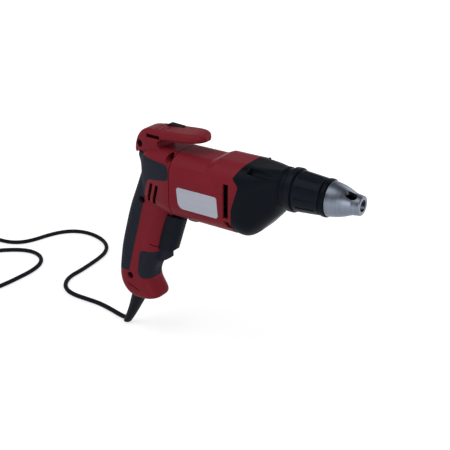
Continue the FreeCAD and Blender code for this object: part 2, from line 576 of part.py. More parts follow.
def round_hole(sketch, x, y, radius):
    """A circle in a sketch, tied to named sizes."""
    circle = sketch.addGeometry(Part.Circle(vec(size(x), size(y), 0), vec(0, 0, 1), size(radius)))
    pin_point(sketch, circle, 3, (x, y))
    tied = sketch.addConstraint(Sketcher.Constraint("Radius", circle, size(radius)))
    bind(sketch, f"Constraints[{tied}]", radius)
    return sketch


def hexagon(sketch, across):
    """A regular hexagon about the sketch's origin, by its width across flats."""
    side = f"({across}) / 2 / cos(30)"
    return outline(sketch, [(f"{side} * cos({60 * step})", f"{side} * sin({60 * step})")
                            for step in range(6)])


def grow(body, kind, sketch, length, symmetric=False, reverse=False):
    """A pad or pocket of a sketch."""
    feature = body.newObject(f"PartDesign::{kind}", f"{kind}_{sketch.Name}")
    feature.Profile = sketch
    bind(feature, "Length", length)
    feature.SideType = "Symmetric" if symmetric else "One side"
    feature.Reversed = reverse
    return feature


def turned(name, up, corners):
    """A body turned about an axis along X at a height: corners are (x, radius[, rounding])."""
    body = new_body(name)
    sketch = outline(sketch_on(body, "XZ_Plane", name + "_profile", up=up), corners)
    feature = body.newObject("PartDesign::Revolution", name + "_turned")
    feature.Profile = sketch
    feature.ReferenceAxis = (sketch, ["H_Axis"])
    return body


def around(body, feature, sketch, count):
    """Repeats a feature about the axis that a sketch's horizontal axis gives."""
    pattern = body.newObject("PartDesign::PolarPattern", feature.Name + "_round")
    pattern.Originals = [feature]
    pattern.Axis = (sketch, ["H_Axis"])
    pattern.Angle = 360
    bind(pattern, "Occurrences", count)
    body.Tip = pattern
    return pattern


def lofted(name, sections, ruled=False):
    """A body lofted through sections given as (sketch maker, corners)."""
    body = new_body(name)
    sketches = []
    for index, (role, away, corners) in enumerate(sections):
        sketches.append(outline(sketch_on(body, role, f"{name}_{index}", away), corners))
    feature = body.newObject("PartDesign::AdditiveLoft", name + "_loft")
    feature.Profile = sketches[0]
    feature.Sections = sketches[1:]
    feature.Ruled = ruled
    return body


def across_x(x, half_width, bottom, top, corner):
    """A rounded section across the X axis."""
    low, high = f"-({half_width})", f"{half_width}"
    return ("YZ_Plane", x, [(low, bottom, corner), (high, bottom, corner), (high, top, corner),
                            (low, top, corner)])


def across_z(z, back, front, half_width, corner):
    """A rounded section across the Z axis."""
    low, high = f"-({half_width})", f"{half_width}"
    return ("XY_Plane", z, [(back, low, corner), (front, low, corner), (front, high, corner),
                            (back, high, corner)])


def side_prism(name, corners, half_width, middle="0"):
    """A body with a side view outline, as wide as given on both sides of a middle plane."""
    body = new_body(name)
    sketch = outline(sketch_on(body, "XZ_Plane", name + "_side", f"-({middle})"), corners)
    grow(body, "Pad", sketch, f"2 * ({half_width})", symmetric=True)
    return body


def rod(name, axis, radius, length, x="0", y="0", z="0"):
    """A cylinder that starts at a place and runs along an axis."""
    cylinder = doc.addObject("Part::Cylinder", name)
    bind(cylinder, "Radius", radius)
    bind(cylinder, "Height", length)
    cylinder.Placement.Rotation = FreeCAD.Rotation(vec(0, 0, 1), vec(*axis))
    for letter, text in zip("xyz", (x, y, z)):
        bind(cylinder, f"Placement.Base.{letter}", text)
    return cylinder


def block(name, x, y, z, x_end, y_end, z_end):
    """A box between two corners."""
    box = doc.addObject("Part::Box", name)
    for letter, side, low, high in (("x", "Length", x, x_end), ("y", "Width", y, y_end),
                                    ("z", "Height", z, z_end)):
        bind(box, f"Placement.Base.{letter}", low)
        bind(box, side, f"({high}) - ({low})")
    return box


def joined(name, pieces):
    fuse = doc.addObject("Part::MultiFuse", name)
    fuse.Shapes = pieces
    fuse.Refine = False
    return fuse


def without(name, base, tool):
    cut = doc.addObject("Part::Cut", name)
    cut.Base = base
    cut.Tool = tool
    cut.Refine = False
    return cut


def shared(name, base, tool):
    common = doc.addObject("Part::Common", name)
    common.Base = base
    common.Tool = tool
    common.Refine = False
    return common


def gathered(name, pieces):
    group = doc.addObject("Part::Compound", name)
    group.Links = pieces
    return group


kept = []


def keep(thing, node):
    """Marks an object as a finished piece and gives it the node's name."""
    thing.Label = node
    kept.append((thing, node))
    return thing


# Motor housing: a moulded tube, open at both ends, with a swell on top and air outlets in its sides.
def housing_sections(inset, past):
    half = f"housing_half_width - {inset}"
    low = f"motor_up - housing_drop + {inset}"
    high = f"motor_up + housing_rise - {inset}"
    corner = f"housing_corner - {inset}"
    front = f"seam_x + tongue_reach + tongue_radius + {past}"
    return [across_x(f"housing_rear_x - {past}", half, low, high, corner),
            across_x("step_x", half, low, high, corner),
            across_x("step_x + step_run", half, low, high + " + step_rise", corner),
            across_x(front, half, low, high + " + step_rise", corner)]


def seam_tool(name, side):
    """Everything behind (-1) or ahead of (1) the seam of motor housing and gear case."""
    far = f"seam_x + {side} * 2 * overrun"
    low = "motor_up - housing_drop - overrun"
    high = "motor_up + housing_rise + overrun"
    corners = [(far, low), ("seam_x", low), ("seam_x", "motor_up + tongue_low"),
               ("seam_x + tongue_reach", "motor_up + tongue_tip", "tongue_radius"),
               ("seam_x", "motor_up + tongue_high"),
               ("seam_x + seam_lean", "motor_up + housing_rise + step_rise"),
               ("seam_x + seam_lean", high), (far, high)]
    return side_prism(name, corners, "housing_half_width + overrun")


def slot_tool(name, low, high, width):
    """A leaning slot through both sides, from a low end to a high end given as (x, z)."""
    corners = [(f"{low[0]} - {width} / 2", low[1]), (f"{low[0]} + {width} / 2", low[1]),
               (f"{high[0]} + {width} / 2", high[1]), (f"{high[0]} - {width} / 2", high[1])]
    return side_prism(name, corners, "housing_half_width + overrun")


def ridge(name, side):
    """A crease along one shoulder of the housing that rises from nothing towards the front."""
    body = new_body(name)
    slices = []
    for place, sunk in (("ridge_back_x", "ridge_fade"), ("ridge_front_x", "0")):
        slices.append(outline(sketch_on(body, "YZ_Plane", f"{name}_{place}", place), [
            (f"{side} * (housing_half_width - 2 * housing_wall)", "motor_up + ridge_low / 2"),
            (f"{side} * (housing_half_width - ({sunk}) / 2)", "motor_up + ridge_low"),
            (f"{side} * (housing_half_width - ridge_in - ({sunk}))", "motor_up + ridge_up"),
            (f"{side} * (housing_half_width - housing_corner / 2)", "motor_up + ridge_up + housing_wall")]))
    loft = body.newObject("PartDesign::AdditiveLoft", name + "_loft")
    loft.Profile = slices[0]
    loft.Sections = slices[1:]
    return body


tube_body = lofted("housing_body", housing_sections("0", "0"), ruled=True)
tube_form = joined("housing_form", [tube_body, ridge("ridge_right", -1), ridge("ridge_left", 1)])
tube_space = lofted("housing_space", housing_sections("housing_wall", "overrun"), ruled=True)
tube_vents = joined("housing_vents", [
    slot_tool("vent_tall", ("vent_x", "motor_up + vent_low"), ("vent_x", "motor_up + vent_high"),
              "vent_width"),
    slot_tool("vent_small", ("vent_x + vent_foot_lean", "motor_up + vent_foot_low"),
              ("vent_x", "motor_up + vent_foot_high"), "vent_width")])
tube_hollow = without("housing_hollow", tube_form, tube_space)
tube_slotted = without("housing_slotted", tube_hollow, tube_vents)
keep(without("motor_housing", tube_slotted, seam_tool("housing_front", 1)), "motor_housing")


# Gear case: a moulded hood that narrows from the motor's section to a round neck, then the collar's tube.
def case_sections(inset, end):
    rear_half = f"housing_half_width - {inset}"
    shoulder = across_x("shoulder_x", f"shoulder_half_width - {inset}", f"axis_up - shoulder_drop + {inset}",
                        f"axis_up + shoulder_rise - {inset}", f"shoulder_corner - {inset}")
    flank = across_x("flank_x", f"flank_half_width - {inset}", f"axis_up - flank_drop + {inset}",
                     f"axis_up + flank_rise - {inset}", f"flank_corner - {inset}")
    throat = across_x("throat_x", f"throat_half_width - {inset}", f"axis_up - throat_drop + {inset}",
                      f"axis_up + throat_rise - {inset}", f"throat_corner - {inset}")
    neck = across_x("neck_x", f"neck_r - {inset}", f"axis_up - neck_r + {inset}",
                    f"axis_up + neck_r - {inset}", f"(neck_r - {inset}) * neck_share")
    rear = [across_x(place, rear_half, f"motor_up - housing_drop + {inset}",
                     f"motor_up + housing_rise + step_rise - {inset}", f"housing_corner - {inset}")
            for place in ("seam_x - tongue_radius", "seam_x + tongue_radius")]
    return rear + [shoulder, flank, throat] + ([neck] if end == "neck" else [])


case_hood = lofted("case_hood", case_sections("0", "neck"))
case_room = lofted("case_room", case_sections("case_wall", "throat"))
case_neck = turned("case_neck", "axis_up", [
    ("neck_x - case_wall", "0"), ("tube_end_x", "0"), ("tube_end_x", "tube_r"), ("neck_end_x", "tube_r"),
    ("neck_end_x", "neck_r"), ("neck_x - case_wall", "neck_r")])
bush_bore = rod("bush_bore", (1, 0, 0), "bush_r", "tube_end_x + overrun - throat_x", x="throat_x",
                z="axis_up")
screw_spots = [("channel_y", "axis_up + channel_rise"), ("-channel_y", "axis_up + channel_rise"),
               ("low_screw_y", "axis_up - low_screw_drop"), ("-low_screw_y", "axis_up - low_screw_drop")]
case_channels = []
case_screws = []
for number, (screw_y, screw_up) in enumerate(screw_spots):
    case_channels.append(rod(f"case_channel_{number}", (1, 0, 0), "channel_r", "neck_x + overrun - channel_x",
                             x="channel_x", y=screw_y, z=screw_up))
    case_channels.append(rod(f"case_hole_{number}", (-1, 0, 0), "case_screw_r", "case_screw_length",
                             x="channel_x", y=screw_y, z=screw_up))
    head = rod(f"case_screw_head_{number}", (1, 0, 0), "case_screw_head_r", "case_screw_head",
               x="channel_x", y=screw_y, z=screw_up)
    shank = rod(f"case_screw_shank_{number}", (-1, 0, 0), "case_screw_r", "case_screw_length",
                x="channel_x", y=screw_y, z=screw_up)
    case_screws.append(joined(f"case_screw_{number}", [head, shank]))
case_bosses = []
for number, (screw_y, screw_up) in enumerate(screw_spots):
    case_bosses.append(rod(f"case_boss_{number}", (1, 0, 0), "channel_r + case_wall", "throat_x - seam_x",
                           x="seam_x", y=screw_y, z=screw_up))
case_boss_bars = shared("case_boss_bars", joined("case_boss_rods", case_bosses), case_hood)
case_shell = without("case_shell", joined("case_solid", [case_hood, case_neck]), case_room)
case_ribbed = joined("case_ribbed", [case_shell, case_boss_bars])
case_seamed = without("case_seamed", case_ribbed, seam_tool("case_rear", -1))
disc_bore = rod("disc_bore", (-1, 0, 0), "dog_outer_r + disc_gap", "overrun",
                x="disc_x + clutch_disc + disc_gap", z="axis_up")
case_tools = joined("case_tools", case_channels + [bush_bore, disc_bore])
keep(without("gear_case", case_seamed, case_tools), "gear_case")
keep(gathered("gear_case_screws", case_screws), "gear_case_screws")


# Handle shells: the rear of the motor's form, the grip below it and the hook above it, in two halves.
def rear_sections(inset):
    def section(x, name):
        return across_x(x, f"{name}_half_width - {inset}", f"motor_up - {name}_drop + {inset}",
                        f"motor_up + {name}_rise - {inset}", f"{name}_corner - {inset}")
    return [section("housing_rear_x", "housing"), section("rear_near_x", "rear_near"),
            section("rear_far_x", "rear_far"), section(f"web_x + {inset}", "web"),
            section(f"web_end_x + {inset}", "web_end")]


def grip_sections(inset):
    sections = []
    for number in range(GRIP_SLICES):
        name = f"grip{number}"
        lift = f" + {inset}" if number == 0 else ""
        sections.append(across_z(f"{name}_up" + lift, f"{name}_back + {inset}", f"{name}_front - {inset}",
                                 f"{name}_half_width - {inset}", f"{name}_corner - {inset}"))
    return sections


def handle_form(name, inset):
    """Rear body and grip together, set in from the outside by a distance."""
    return joined(name, [lofted(name + "_rear", rear_sections(inset)),
                         lofted(name + "_grip", grip_sections(inset))])


handle_outside = handle_form("handle_outside", "0")
handle_core = handle_form("handle_core", "rubber_depth")
handle_space = handle_form("handle_space", "shell_wall")


# Hook: a root column over the handle's rear and a flat tongue that reaches forward over the motor housing.
def hook_section(number, half_width, low, high, corner):
    return across_x(f"tongue_x + {number} * tongue_pitch", half_width, low, high, corner)


def tongue_section(number):
    return hook_section(number, f"hook_half_width + {number} * hook_flare",
                        f"hook_low + {number} * hook_lift",
                        f"hook_top + {number} * hook_rise", "hook_corner")


hook_root = lofted("hook_root", [
    across_x("column_x", "column_back_half_width", "column_back_low", "column_back_high",
             "column_back_corner"),
    across_x("column_x + column_pitch", "column_mid_half_width", "column_foot", "column_mid_high",
             "column_corner"),
    across_x("column_x + 2 * column_pitch", "column_half_width", "column_foot", "hook_top", "column_corner"),
    across_x("column_x + 3 * column_pitch", "hook_half_width", "column_foot", "hook_top + hook_rise",
             "hook_corner")])
hook_gap_end = rod("hook_gap_end", (0, 1, 0), "hook_gap_r", "2 * overrun", x="column_x + 3 * column_pitch",
                   y="-overrun", z="hook_gap_up")
hook_column = without("hook_column", hook_root, hook_gap_end)
hook_tongue = lofted("hook_tongue", [tongue_section(number) for number in range(4)] + [
    hook_section(4, "hook_front_half_width", "hook_low + 4 * hook_lift", "hook_top + 4 * hook_rise",
                 "hook_corner"),
    hook_section(5, "hook_tip_half_width", "hook_low + 6 * hook_lift",
                 "hook_top + 5 * hook_rise - hook_tip_drop", "hook_tip_corner")])

# Grip rubber: a skin set into the shells, at the back with a lobe on each side and under the trigger.
far_back = "grip2_back - overrun"
far_front = "trigger_front_top + overrun"
rear_patch = side_prism("rear_patch", [
    (far_back, "grip_top"), ("lobe_x", "grip_top", "lobe_round"), ("lobe_x", "lobe_low", "lobe_under_round"),
    ("lobe_root_x", "lobe_root_up"), ("grip_edge_a_x", "grip_edge_a_up", "edge_round"),
    ("grip_edge_b_x", "grip_edge_b_up"), ("grip_edge_c_x", "grip_edge_c_up"), ("grip_end_x", "grip_end_up"),
    (far_back, "grip_end_up")], "housing_half_width + overrun")
front_patch = side_prism("front_patch", [
    (far_front, "finger_top"), ("finger_x", "finger_top", "finger_round"),
    ("finger_low_x", "finger_low", "finger_round"), (far_front, "finger_low")],
    "housing_half_width + overrun")
stop_block = side_prism("stop_block", [
    ("grip4_front - shell_wall", "stop_top"), ("stop_x", "stop_top", "stop_round"),
    ("stop_x", "stop_tip_low", "stop_round"), ("grip4_front", "stop_low"),
    ("grip4_front - shell_wall", "stop_low")], "stop_half_width")
stop_wrap = lofted("stop_wrap", [
    across_z(place, "grip4_front - 2 * overrun", "stop_x", "stop_half_width", "stop_half_width - run_gap")
    for place in ("stop_low - shell_wall", "stop_top + shell_wall")])
finger_stop = shared("finger_stop", stop_block, stop_wrap)
rear_skin = shared("rear_skin", handle_outside, rear_patch)
rear_skin_over = without("rear_skin_over", rear_skin, handle_core)
rear_rubber = without("rear_rubber", rear_skin_over, hook_column)
front_skin = joined("front_skin", [shared("front_skin_form", handle_outside, front_patch), finger_stop])
front_rubber = without("front_rubber", front_skin, handle_core)

# Screw bosses join the shells from side to side.
shell_screw_spots = [("hook_screw_x", "hook_screw_up"), ("top_screw_x", "top_screw_up"),
                     ("neck_screw_x", "neck_screw_up"), ("heel_screw_x", "heel_screw_up")]
boss_rods = []
screw_holes = []
shell_screws = []
for number, (screw_x, screw_up) in enumerate(shell_screw_spots):
    width = "housing_half_width + overrun"
    boss_rods.append(rod(f"shell_boss_{number}", (0, 1, 0), "boss_r", f"2 * ({width})",
                         x=screw_x, y=f"-({width})", z=screw_up))
    screw_holes.append(rod(f"shell_hole_{number}", (0, 1, 0), "shell_screw_r", "2 * shell_screw_reach",
                           x=screw_x, y="-shell_screw_reach", z=screw_up))
    screw_holes.append(rod(f"shell_sink_{number}", (0, -1, 0), "shell_screw_head_r + seat_gap", width,
                           x=screw_x, y="-shell_screw_reach", z=screw_up))
    shank = rod(f"shell_shank_{number}", (0, 1, 0), "shell_screw_r", "2 * shell_screw_reach",
                x=screw_x, y="-shell_screw_reach", z=screw_up)
    head = rod(f"shell_head_{number}", (0, -1, 0), "shell_screw_head_r", "shell_screw_head",
               x=screw_x, y="-shell_screw_reach", z=screw_up)
    shell_screws.append(joined(f"shell_screw_{number}", [shank, head]))
bosses = shared("shell_bosses", joined("boss_rods", boss_rods), handle_core)

# Openings of the shells: trigger, lever pin, air inlets, hook slots and grooves, slide, strain relief.
trigger_window = block("trigger_window", "trigger_rear_bottom - trigger_travel - trigger_round",
                       "-trigger_half_width - seat_gap", "trigger_bottom - seat_gap", far_front,
                       "trigger_half_width + seat_gap", "trigger_top + seat_gap")
lever_hole = rod("lever_hole", (0, 0, 1), "lever_pin_r", "lever_thickness + lever_pin_reach",
                 x="lever_pivot_x", z="lever_bottom")
inlets = []
for number in range(2):
    upper = f"inlet_x + {number} * inlet_pitch"
    inlets.append(slot_tool(f"inlet_{number}", (f"{upper} - inlet_lean", "inlet_top - inlet_height"),
                            (upper, "inlet_top"), "inlet_width"))
root_slots = []
for number, side in enumerate((-1, 1)):
    inner = f"{side} * (hook_half_width - hook_slot_depth)"
    outer = f"{side} * (hook_half_width + overrun)"
    low, high = (outer, inner) if side < 0 else (inner, outer)
    root_slots.append(block(f"root_slot_{number}", "hook_slot_x", low, "hook_slot_up",
                            "hook_slot_x + hook_slot_length",
                            high, "hook_slot_up + hook_slot_height"))
crown_grooves = []
for number in range(int(round(size("groove_count")))):
    place = f"groove_x + {number} * groove_pitch"
    rise = "hook_rise / tongue_pitch"
    floor = f"hook_top + ({place} - tongue_x) * {rise} - groove_depth"
    crown_grooves.append(block(f"crown_groove_{number}", place, "-groove_half_width", floor,
                               f"{place} + groove_width", "slide_y - slide_half_width - groove_width",
                               "hook_top + overrun"))
slide_track = block("slide_track", "slide_x - slide_travel - seat_gap",
                    "slide_y - slide_half_width - seat_gap",
                    "slide_floor", "slide_x + slide_length + slide_travel + seat_gap",
                    "slide_y + slide_half_width + seat_gap", "hook_top + overrun")
slide_slot = block("slide_slot", "slide_x + slide_half_width - slide_travel - seat_gap",
                   "slide_y - slide_foot_half_width - seat_gap", "slide_floor - slide_foot_depth - seat_gap",
                   "slide_x + slide_length - slide_half_width + slide_travel + seat_gap",
                   "slide_y + slide_foot_half_width + seat_gap", "hook_top + overrun")
boot_way = vec(size("boot_end_x") - size("boot_top_x") + 4 * size("boot_bow"), 0,
               size("boot_end") + size("boot_tip") / 2 - size("boot_top"))
boot_hole = rod("boot_hole", tuple(boot_way), "boot_top_r + seat_gap", "overrun",
                x=f"boot_top_x + {boot_way.x / boot_way.z} * boot_flange", z="boot_top + boot_flange")
boot_groove = rod("boot_groove", (0, 0, 1), "boot_flange_r", "boot_flange", x="boot_top_x", z="boot_top")
def skin_cut(name, tool):
    """The part of a tool that lies in the outer skin of the handle."""
    return without(name, shared(name + "_form", handle_outside, tool), handle_core)


def slit_tool(name):
    """A thin slit that falls towards the front, on both sides."""
    front = (f"{name}_x + {name}_length", f"{name}_up - {name}_fall")
    corners = [(f"{name}_x", f"{name}_up - slit_width"), (front[0], front[1] + " - slit_width"), front,
               (f"{name}_x", f"{name}_up")]
    return side_prism(name, corners, "housing_half_width + overrun")


joint_slab = block("joint_slab", "housing_rear_x - joint_groove", "-2 * overrun", "0", "housing_rear_x",
                   "2 * overrun",
                   "4 * overrun")
skin_cuts = [skin_cut("joint_ring", joint_slab), skin_cut("palm_cut", slit_tool("palm_slit")),
             skin_cut("heel_cut", slit_tool("heel_slit"))]
shell_form = joined("shell_form", [handle_outside, hook_column, hook_tongue])
shell_hollow = without("shell_hollow", shell_form, handle_space)
shell_bossed = joined("shell_bossed", [shell_hollow, bosses])
shell_skinned = without("shell_skinned", shell_bossed, rear_rubber)
shell_bare = without("shell_bare", shell_skinned, front_rubber)
shell_tools = joined("shell_tools", [trigger_window, lever_hole, boot_hole, boot_groove, slide_track,
                                     slide_slot]
                     + inlets + root_slots + crown_grooves + screw_holes + skin_cuts)
shell_both = without("shell_both", shell_bare, shell_tools)
reach = "3 * housing_half_width"
side_boxes = {
    "right": block("right_side", "-" + reach, "-" + reach, "-" + reach, reach, "0", "2 * (" + reach + ")"),
    "left": block("left_side", "-" + reach, "0", "-" + reach, reach, reach, "2 * (" + reach + ")")}
for side, box in side_boxes.items():
    keep(shared(f"handle_shell_{side}", shell_both, box), f"handle_shell_{side}")
    rear_half = shared(f"rear_half_{side}", rear_rubber, box)
    keep(without(f"rear_grip_{side}", rear_half, joined(f"rear_sinks_{side}", screw_holes)),
         f"rear_grip_{side}")
    front_half = shared(f"front_half_{side}", front_rubber, box)
    keep(without(f"front_grip_{side}", front_half, trigger_window), f"front_grip_{side}")
keep(gathered("shell_screws", shell_screws), "shell_screws")

# Gear plate: closes the gear case towards the motor and carries both front bearings.
plate_slab = block("plate_slab", "plate_x", "-" + reach, "0", "plate_x + plate_width", reach,
                   "2 * (" + reach + ")")
plate_form = shared("plate_form", case_room, plate_slab)
plate_holes = joined("plate_holes", [
    rod("plate_motor_bore", (1, 0, 0), "bearing_r", "2 * overrun", x="plate_x - overrun", z="motor_up"),
    rod("plate_gear_bore", (1, 0, 0), "arbor_bearing_r", "2 * overrun", x="plate_x - overrun", z="axis_up")])
plate_trimmed = without("plate_trimmed", plate_form, joined("plate_bosses", case_bosses))
keep(without("gear_plate", plate_trimmed, plate_holes), "gear_plate")

# Depth collar: screwed on the case's tube, with a flange that slides over the neck and flutes to grip.
collar = turned("depth_collar", "axis_up", [
    ("flange_x", "neck_r + seat_gap"), ("flange_x", "flange_r", "collar_round"),
    ("flange_x + flange_length", "flange_r", "collar_round"),
    ("flange_x + flange_length", "collar_rear_r - collar_groove_depth"),
    ("collar_x", "collar_rear_r - collar_groove_depth"), ("collar_x", "collar_rear_r", "collar_round / 2"),
    ("collar_front_x", "collar_front_r", "collar_round"), ("collar_front_x", "sleeve_r + run_gap"),
    ("tube_end_x + collar_round", "sleeve_r + run_gap"), ("tube_end_x + collar_round", "tube_r + run_gap"),
    ("flange_x + depth_travel", "tube_r + run_gap"), ("flange_x + depth_travel", "neck_r + seat_gap")])
doc.recompute()
collar_axis = collar.Tip.Profile[0]
flute_ends = []
for number, (place, radius) in enumerate((("collar_x + rib_margin", "collar_rear_r"),
                                          ("collar_front_x - rib_margin", "collar_front_r"))):
    share = "rib_margin / (collar_front_x - collar_x) * (collar_rear_r - collar_front_r)"
    floor = f"{radius} - rib_depth - ({1 - 2 * number}) * {share}"
    flute = sketch_on(collar, "YZ_Plane", f"flute_{number}", place, up="axis_up")
    flute_ends.append(outline(flute, [("-rib_width / 2", floor), ("rib_width / 2", floor),
                                      ("rib_width", f"{floor} + 2 * rib_width"),
                                      ("-rib_width", f"{floor} + 2 * rib_width")]))
flute_cut = collar.newObject("PartDesign::SubtractiveLoft", "flute_cut")
flute_cut.Profile = flute_ends[0]
flute_cut.Sections = flute_ends[1:]
flute_cut.Ruled = True
around(collar, flute_cut, collar_axis, "rib_count")
keep(collar, "depth_collar")

# Nosepiece: a bright sleeve and cone that rests on the board, with a window on two sides.
crown_x = "(cone_x + nose_x - tip_length) / 2"
nose_form = turned("nose_form", "axis_up", [
    ("sleeve_x", "sleeve_r - sleeve_wall"), ("sleeve_x", "sleeve_r"), ("cone_x", "sleeve_r"),
    ("cone_x", "cone_r"),
    (crown_x, "(cone_r + tip_rear_r) / 2 + cone_crown", "cone_crown_radius"),
    ("nose_x - tip_length", "tip_rear_r"), ("nose_x", "tip_r", "tip_round"), ("nose_x", "nose_hole_r"),
    ("nose_x - nose_hole_length", "nose_hole_r"), ("cone_x + sleeve_wall", "sleeve_r - sleeve_wall")])
window = new_body("nose_window")
window_side = "nose_x - window_set_back"
window_sketch = outline(sketch_on(window, "XY_Plane", "window_outline"), [
    (f"{window_side} + {x} * window_length / 2", f"{y} * window_width / 2", "window_width / 2 - run_gap")
    for x, y in ((-1, -1), (1, -1), (1, 1), (-1, 1))])
grow(window, "Pad", window_sketch, "2 * overrun", symmetric=True)
window.Placement.Rotation = FreeCAD.Rotation(vec(1, 0, 0), size("window_angle"))
bind(window, "Placement.Base.z", "axis_up")
keep(without("nosepiece", nose_form, window), "nosepiece")
keep(turned("retaining_ring", "axis_up", [
    ("ring_x", "sleeve_r"), ("ring_x", "ring_r", "ring_round"),
    ("ring_x + ring_length", "ring_r", "ring_round"),
    ("ring_x + ring_length", "sleeve_r")]), "retaining_ring")


# Gears: spur teeth with involute flanks.
def gear(name, teeth, place, width, up, bore, turn):
    module = size("gear_module")
    count = int(round(size(teeth)))
    pitch_r = module * count / 2
    base_r = pitch_r * math.cos(math.radians(20))
    tip_r = pitch_r + module * size("addendum_share")
    root_r = pitch_r - module * size("dedendum_share")
    half = math.pi / (2 * count) - size("tooth_play") / (2 * pitch_r)
    flat = math.tan(math.radians(20)) - math.radians(20)
    steps = 3
    flank = []
    for step in range(steps + 1):
        radius = max(base_r, root_r) + (tip_r - max(base_r, root_r)) * step / steps
        lean = math.acos(min(1, base_r / radius))
        flank.append((radius, half + flat - math.tan(lean) + lean))
    flank.insert(0, (root_r, flank[0][1]))
    points = []
    for tooth in range(count):
        middle = math.radians(turn) + 2 * math.pi * tooth / count
        for radius, angle in flank:
            points.append((radius, middle - angle))
        for radius, angle in reversed(flank):
            points.append((radius, middle + angle))
    loop = [vec(size(place), radius * math.cos(angle), radius * math.sin(angle) + size(up))
            for radius, angle in points]
    solid = Part.Face(Part.makePolygon(loop + loop[:1])).extrude(vec(size(width), 0, 0))
    if bore:
        solid = solid.cut(Part.makeCylinder(size(bore), size(width), vec(size(place), 0, size(up)),
                                            vec(1, 0, 0)))
    feature = doc.addObject("Part::Feature", name)
    feature.Shape = solid
    return feature


def dogs(name, place):
    """Clutch dogs on a ring, as separate blocks."""
    pieces = []
    for number in range(int(round(size("dog_count")))):
        ring = turned(f"{name}_{number}", "axis_up", [
            (place, "dog_inner_r"), (f"{place} + dog_length", "dog_inner_r"),
            (f"{place} + dog_length", "dog_outer_r"), (place, "dog_outer_r")])
        slab = block(f"{name}_slab_{number}", f"{place} - dog_length", "-dog_width / 2", "0",
                     f"{place} + 2 * dog_length", "dog_width / 2", "overrun")
        slab.Placement.Rotation = FreeCAD.Rotation(vec(1, 0, 0), 360 / size("dog_count") * number)
        tilt = math.radians(360 / size("dog_count") * number)
        bind(slab, "Placement.Base.y", f"-dog_width / 2 * {math.cos(tilt)}")
        bind(slab, "Placement.Base.z", f"axis_up - dog_width / 2 * {math.sin(tilt)}")
        pieces.append(shared(f"{name}_dog_{number}", ring, slab))
    return pieces


# Drive gear on its arbor: turns in the gear plate and carries one half of the clutch.
wheel = gear("wheel_teeth_form", "wheel_teeth", "wheel_x", "wheel_width", "axis_up", "arbor_r",
             -90 + 180 / size("wheel_teeth"))
keep(joined("drive_gear", [wheel] + dogs("gear_dogs", "wheel_front")), "drive_gear")
keep(turned("gear_arbor", "axis_up", [
    ("plate_x - run_gap", "0"), ("wheel_front + pilot_length", "0"),
    ("wheel_front + pilot_length", "pilot_r"),
    ("wheel_front", "pilot_r"), ("wheel_front", "arbor_r"), ("plate_x - run_gap", "arbor_r")]), "gear_arbor")


def bearing(name, place, width, up, bore, outer):
    """A ball bearing shown as one ring with shield grooves."""
    inner_wall = f"{bore} + ({outer} - ({bore})) / 3"
    outer_wall = f"{outer} - ({outer} - ({bore})) / 3"
    return turned(name, up, [
        (place, bore), (place, inner_wall), (f"{place} + bearing_groove", inner_wall),
        (f"{place} + bearing_groove", outer_wall), (place, outer_wall), (place, outer),
        (f"{place} + {width}", outer), (f"{place} + {width}", outer_wall),
        (f"{place} + {width} - bearing_groove", outer_wall),
        (f"{place} + {width} - bearing_groove", inner_wall),
        (f"{place} + {width}", inner_wall), (f"{place} + {width}", bore)])


keep(bearing("gear_bearing", "plate_x", "plate_width", "axis_up", "arbor_r + run_gap", "arbor_bearing_r"),
     "gear_bearing")
keep(bearing("front_bearing", "plate_x", "bearing_width", "motor_up", "shaft_r + run_gap", "bearing_r"),
     "front_bearing")
keep(bearing("rear_bearing", "rear_plate_x", "bearing_width", "motor_up", "shaft_r + run_gap",
             "bearing_r"), "rear_bearing")

# Output spindle: slides back against its spring when pushed, and takes the bit holder's hexagon.
spindle_form = turned("spindle_form", "axis_up", [
    ("disc_x", "pilot_r + run_gap"), ("wheel_front + pilot_length + push_travel + clutch_disc",
                                      "pilot_r + run_gap"),
    ("wheel_front + pilot_length + push_travel + clutch_disc", "0"), ("spindle_end_x", "0"),
    ("spindle_end_x", "spindle_r"), ("disc_x + clutch_disc", "spindle_r"),
    ("disc_x + clutch_disc", "dog_outer_r"),
    ("disc_x", "dog_outer_r"), ("disc_x", "spring_r + spring_wire"),
    ("disc_x + spring_pocket", "spring_r + spring_wire"),
    ("disc_x + spring_pocket", "spring_r - spring_wire"),
    ("disc_x", "spring_r - spring_wire")])
hex_sketch = hexagon(sketch_on(spindle_form, "YZ_Plane", "spindle_hex", "spindle_end_x", up="axis_up"),
                     "hex_across + hex_gap")
grow(spindle_form, "Pocket", hex_sketch, "holder_shank")
spindle_dogs = dogs("spindle_dogs", "disc_x - dog_length")
keep(joined("output_spindle", [spindle_form] + spindle_dogs), "output_spindle")
keep(turned("spindle_bush", "axis_up", [
    ("bush_x", "spindle_r + run_gap"), ("bush_x + bush_length", "spindle_r + run_gap"),
    ("bush_x + bush_length", "bush_r"), ("bush_x", "bush_r")]), "spindle_bush")
keep(turned("thrust_washer", "axis_up", [
    ("wheel_front + seat_gap", "pilot_r + run_gap"),
    ("wheel_front + seat_gap + washer_thickness", "pilot_r + run_gap"),
    ("wheel_front + seat_gap + washer_thickness", "washer_r"), ("wheel_front + seat_gap", "washer_r")]),
    "thrust_washer")


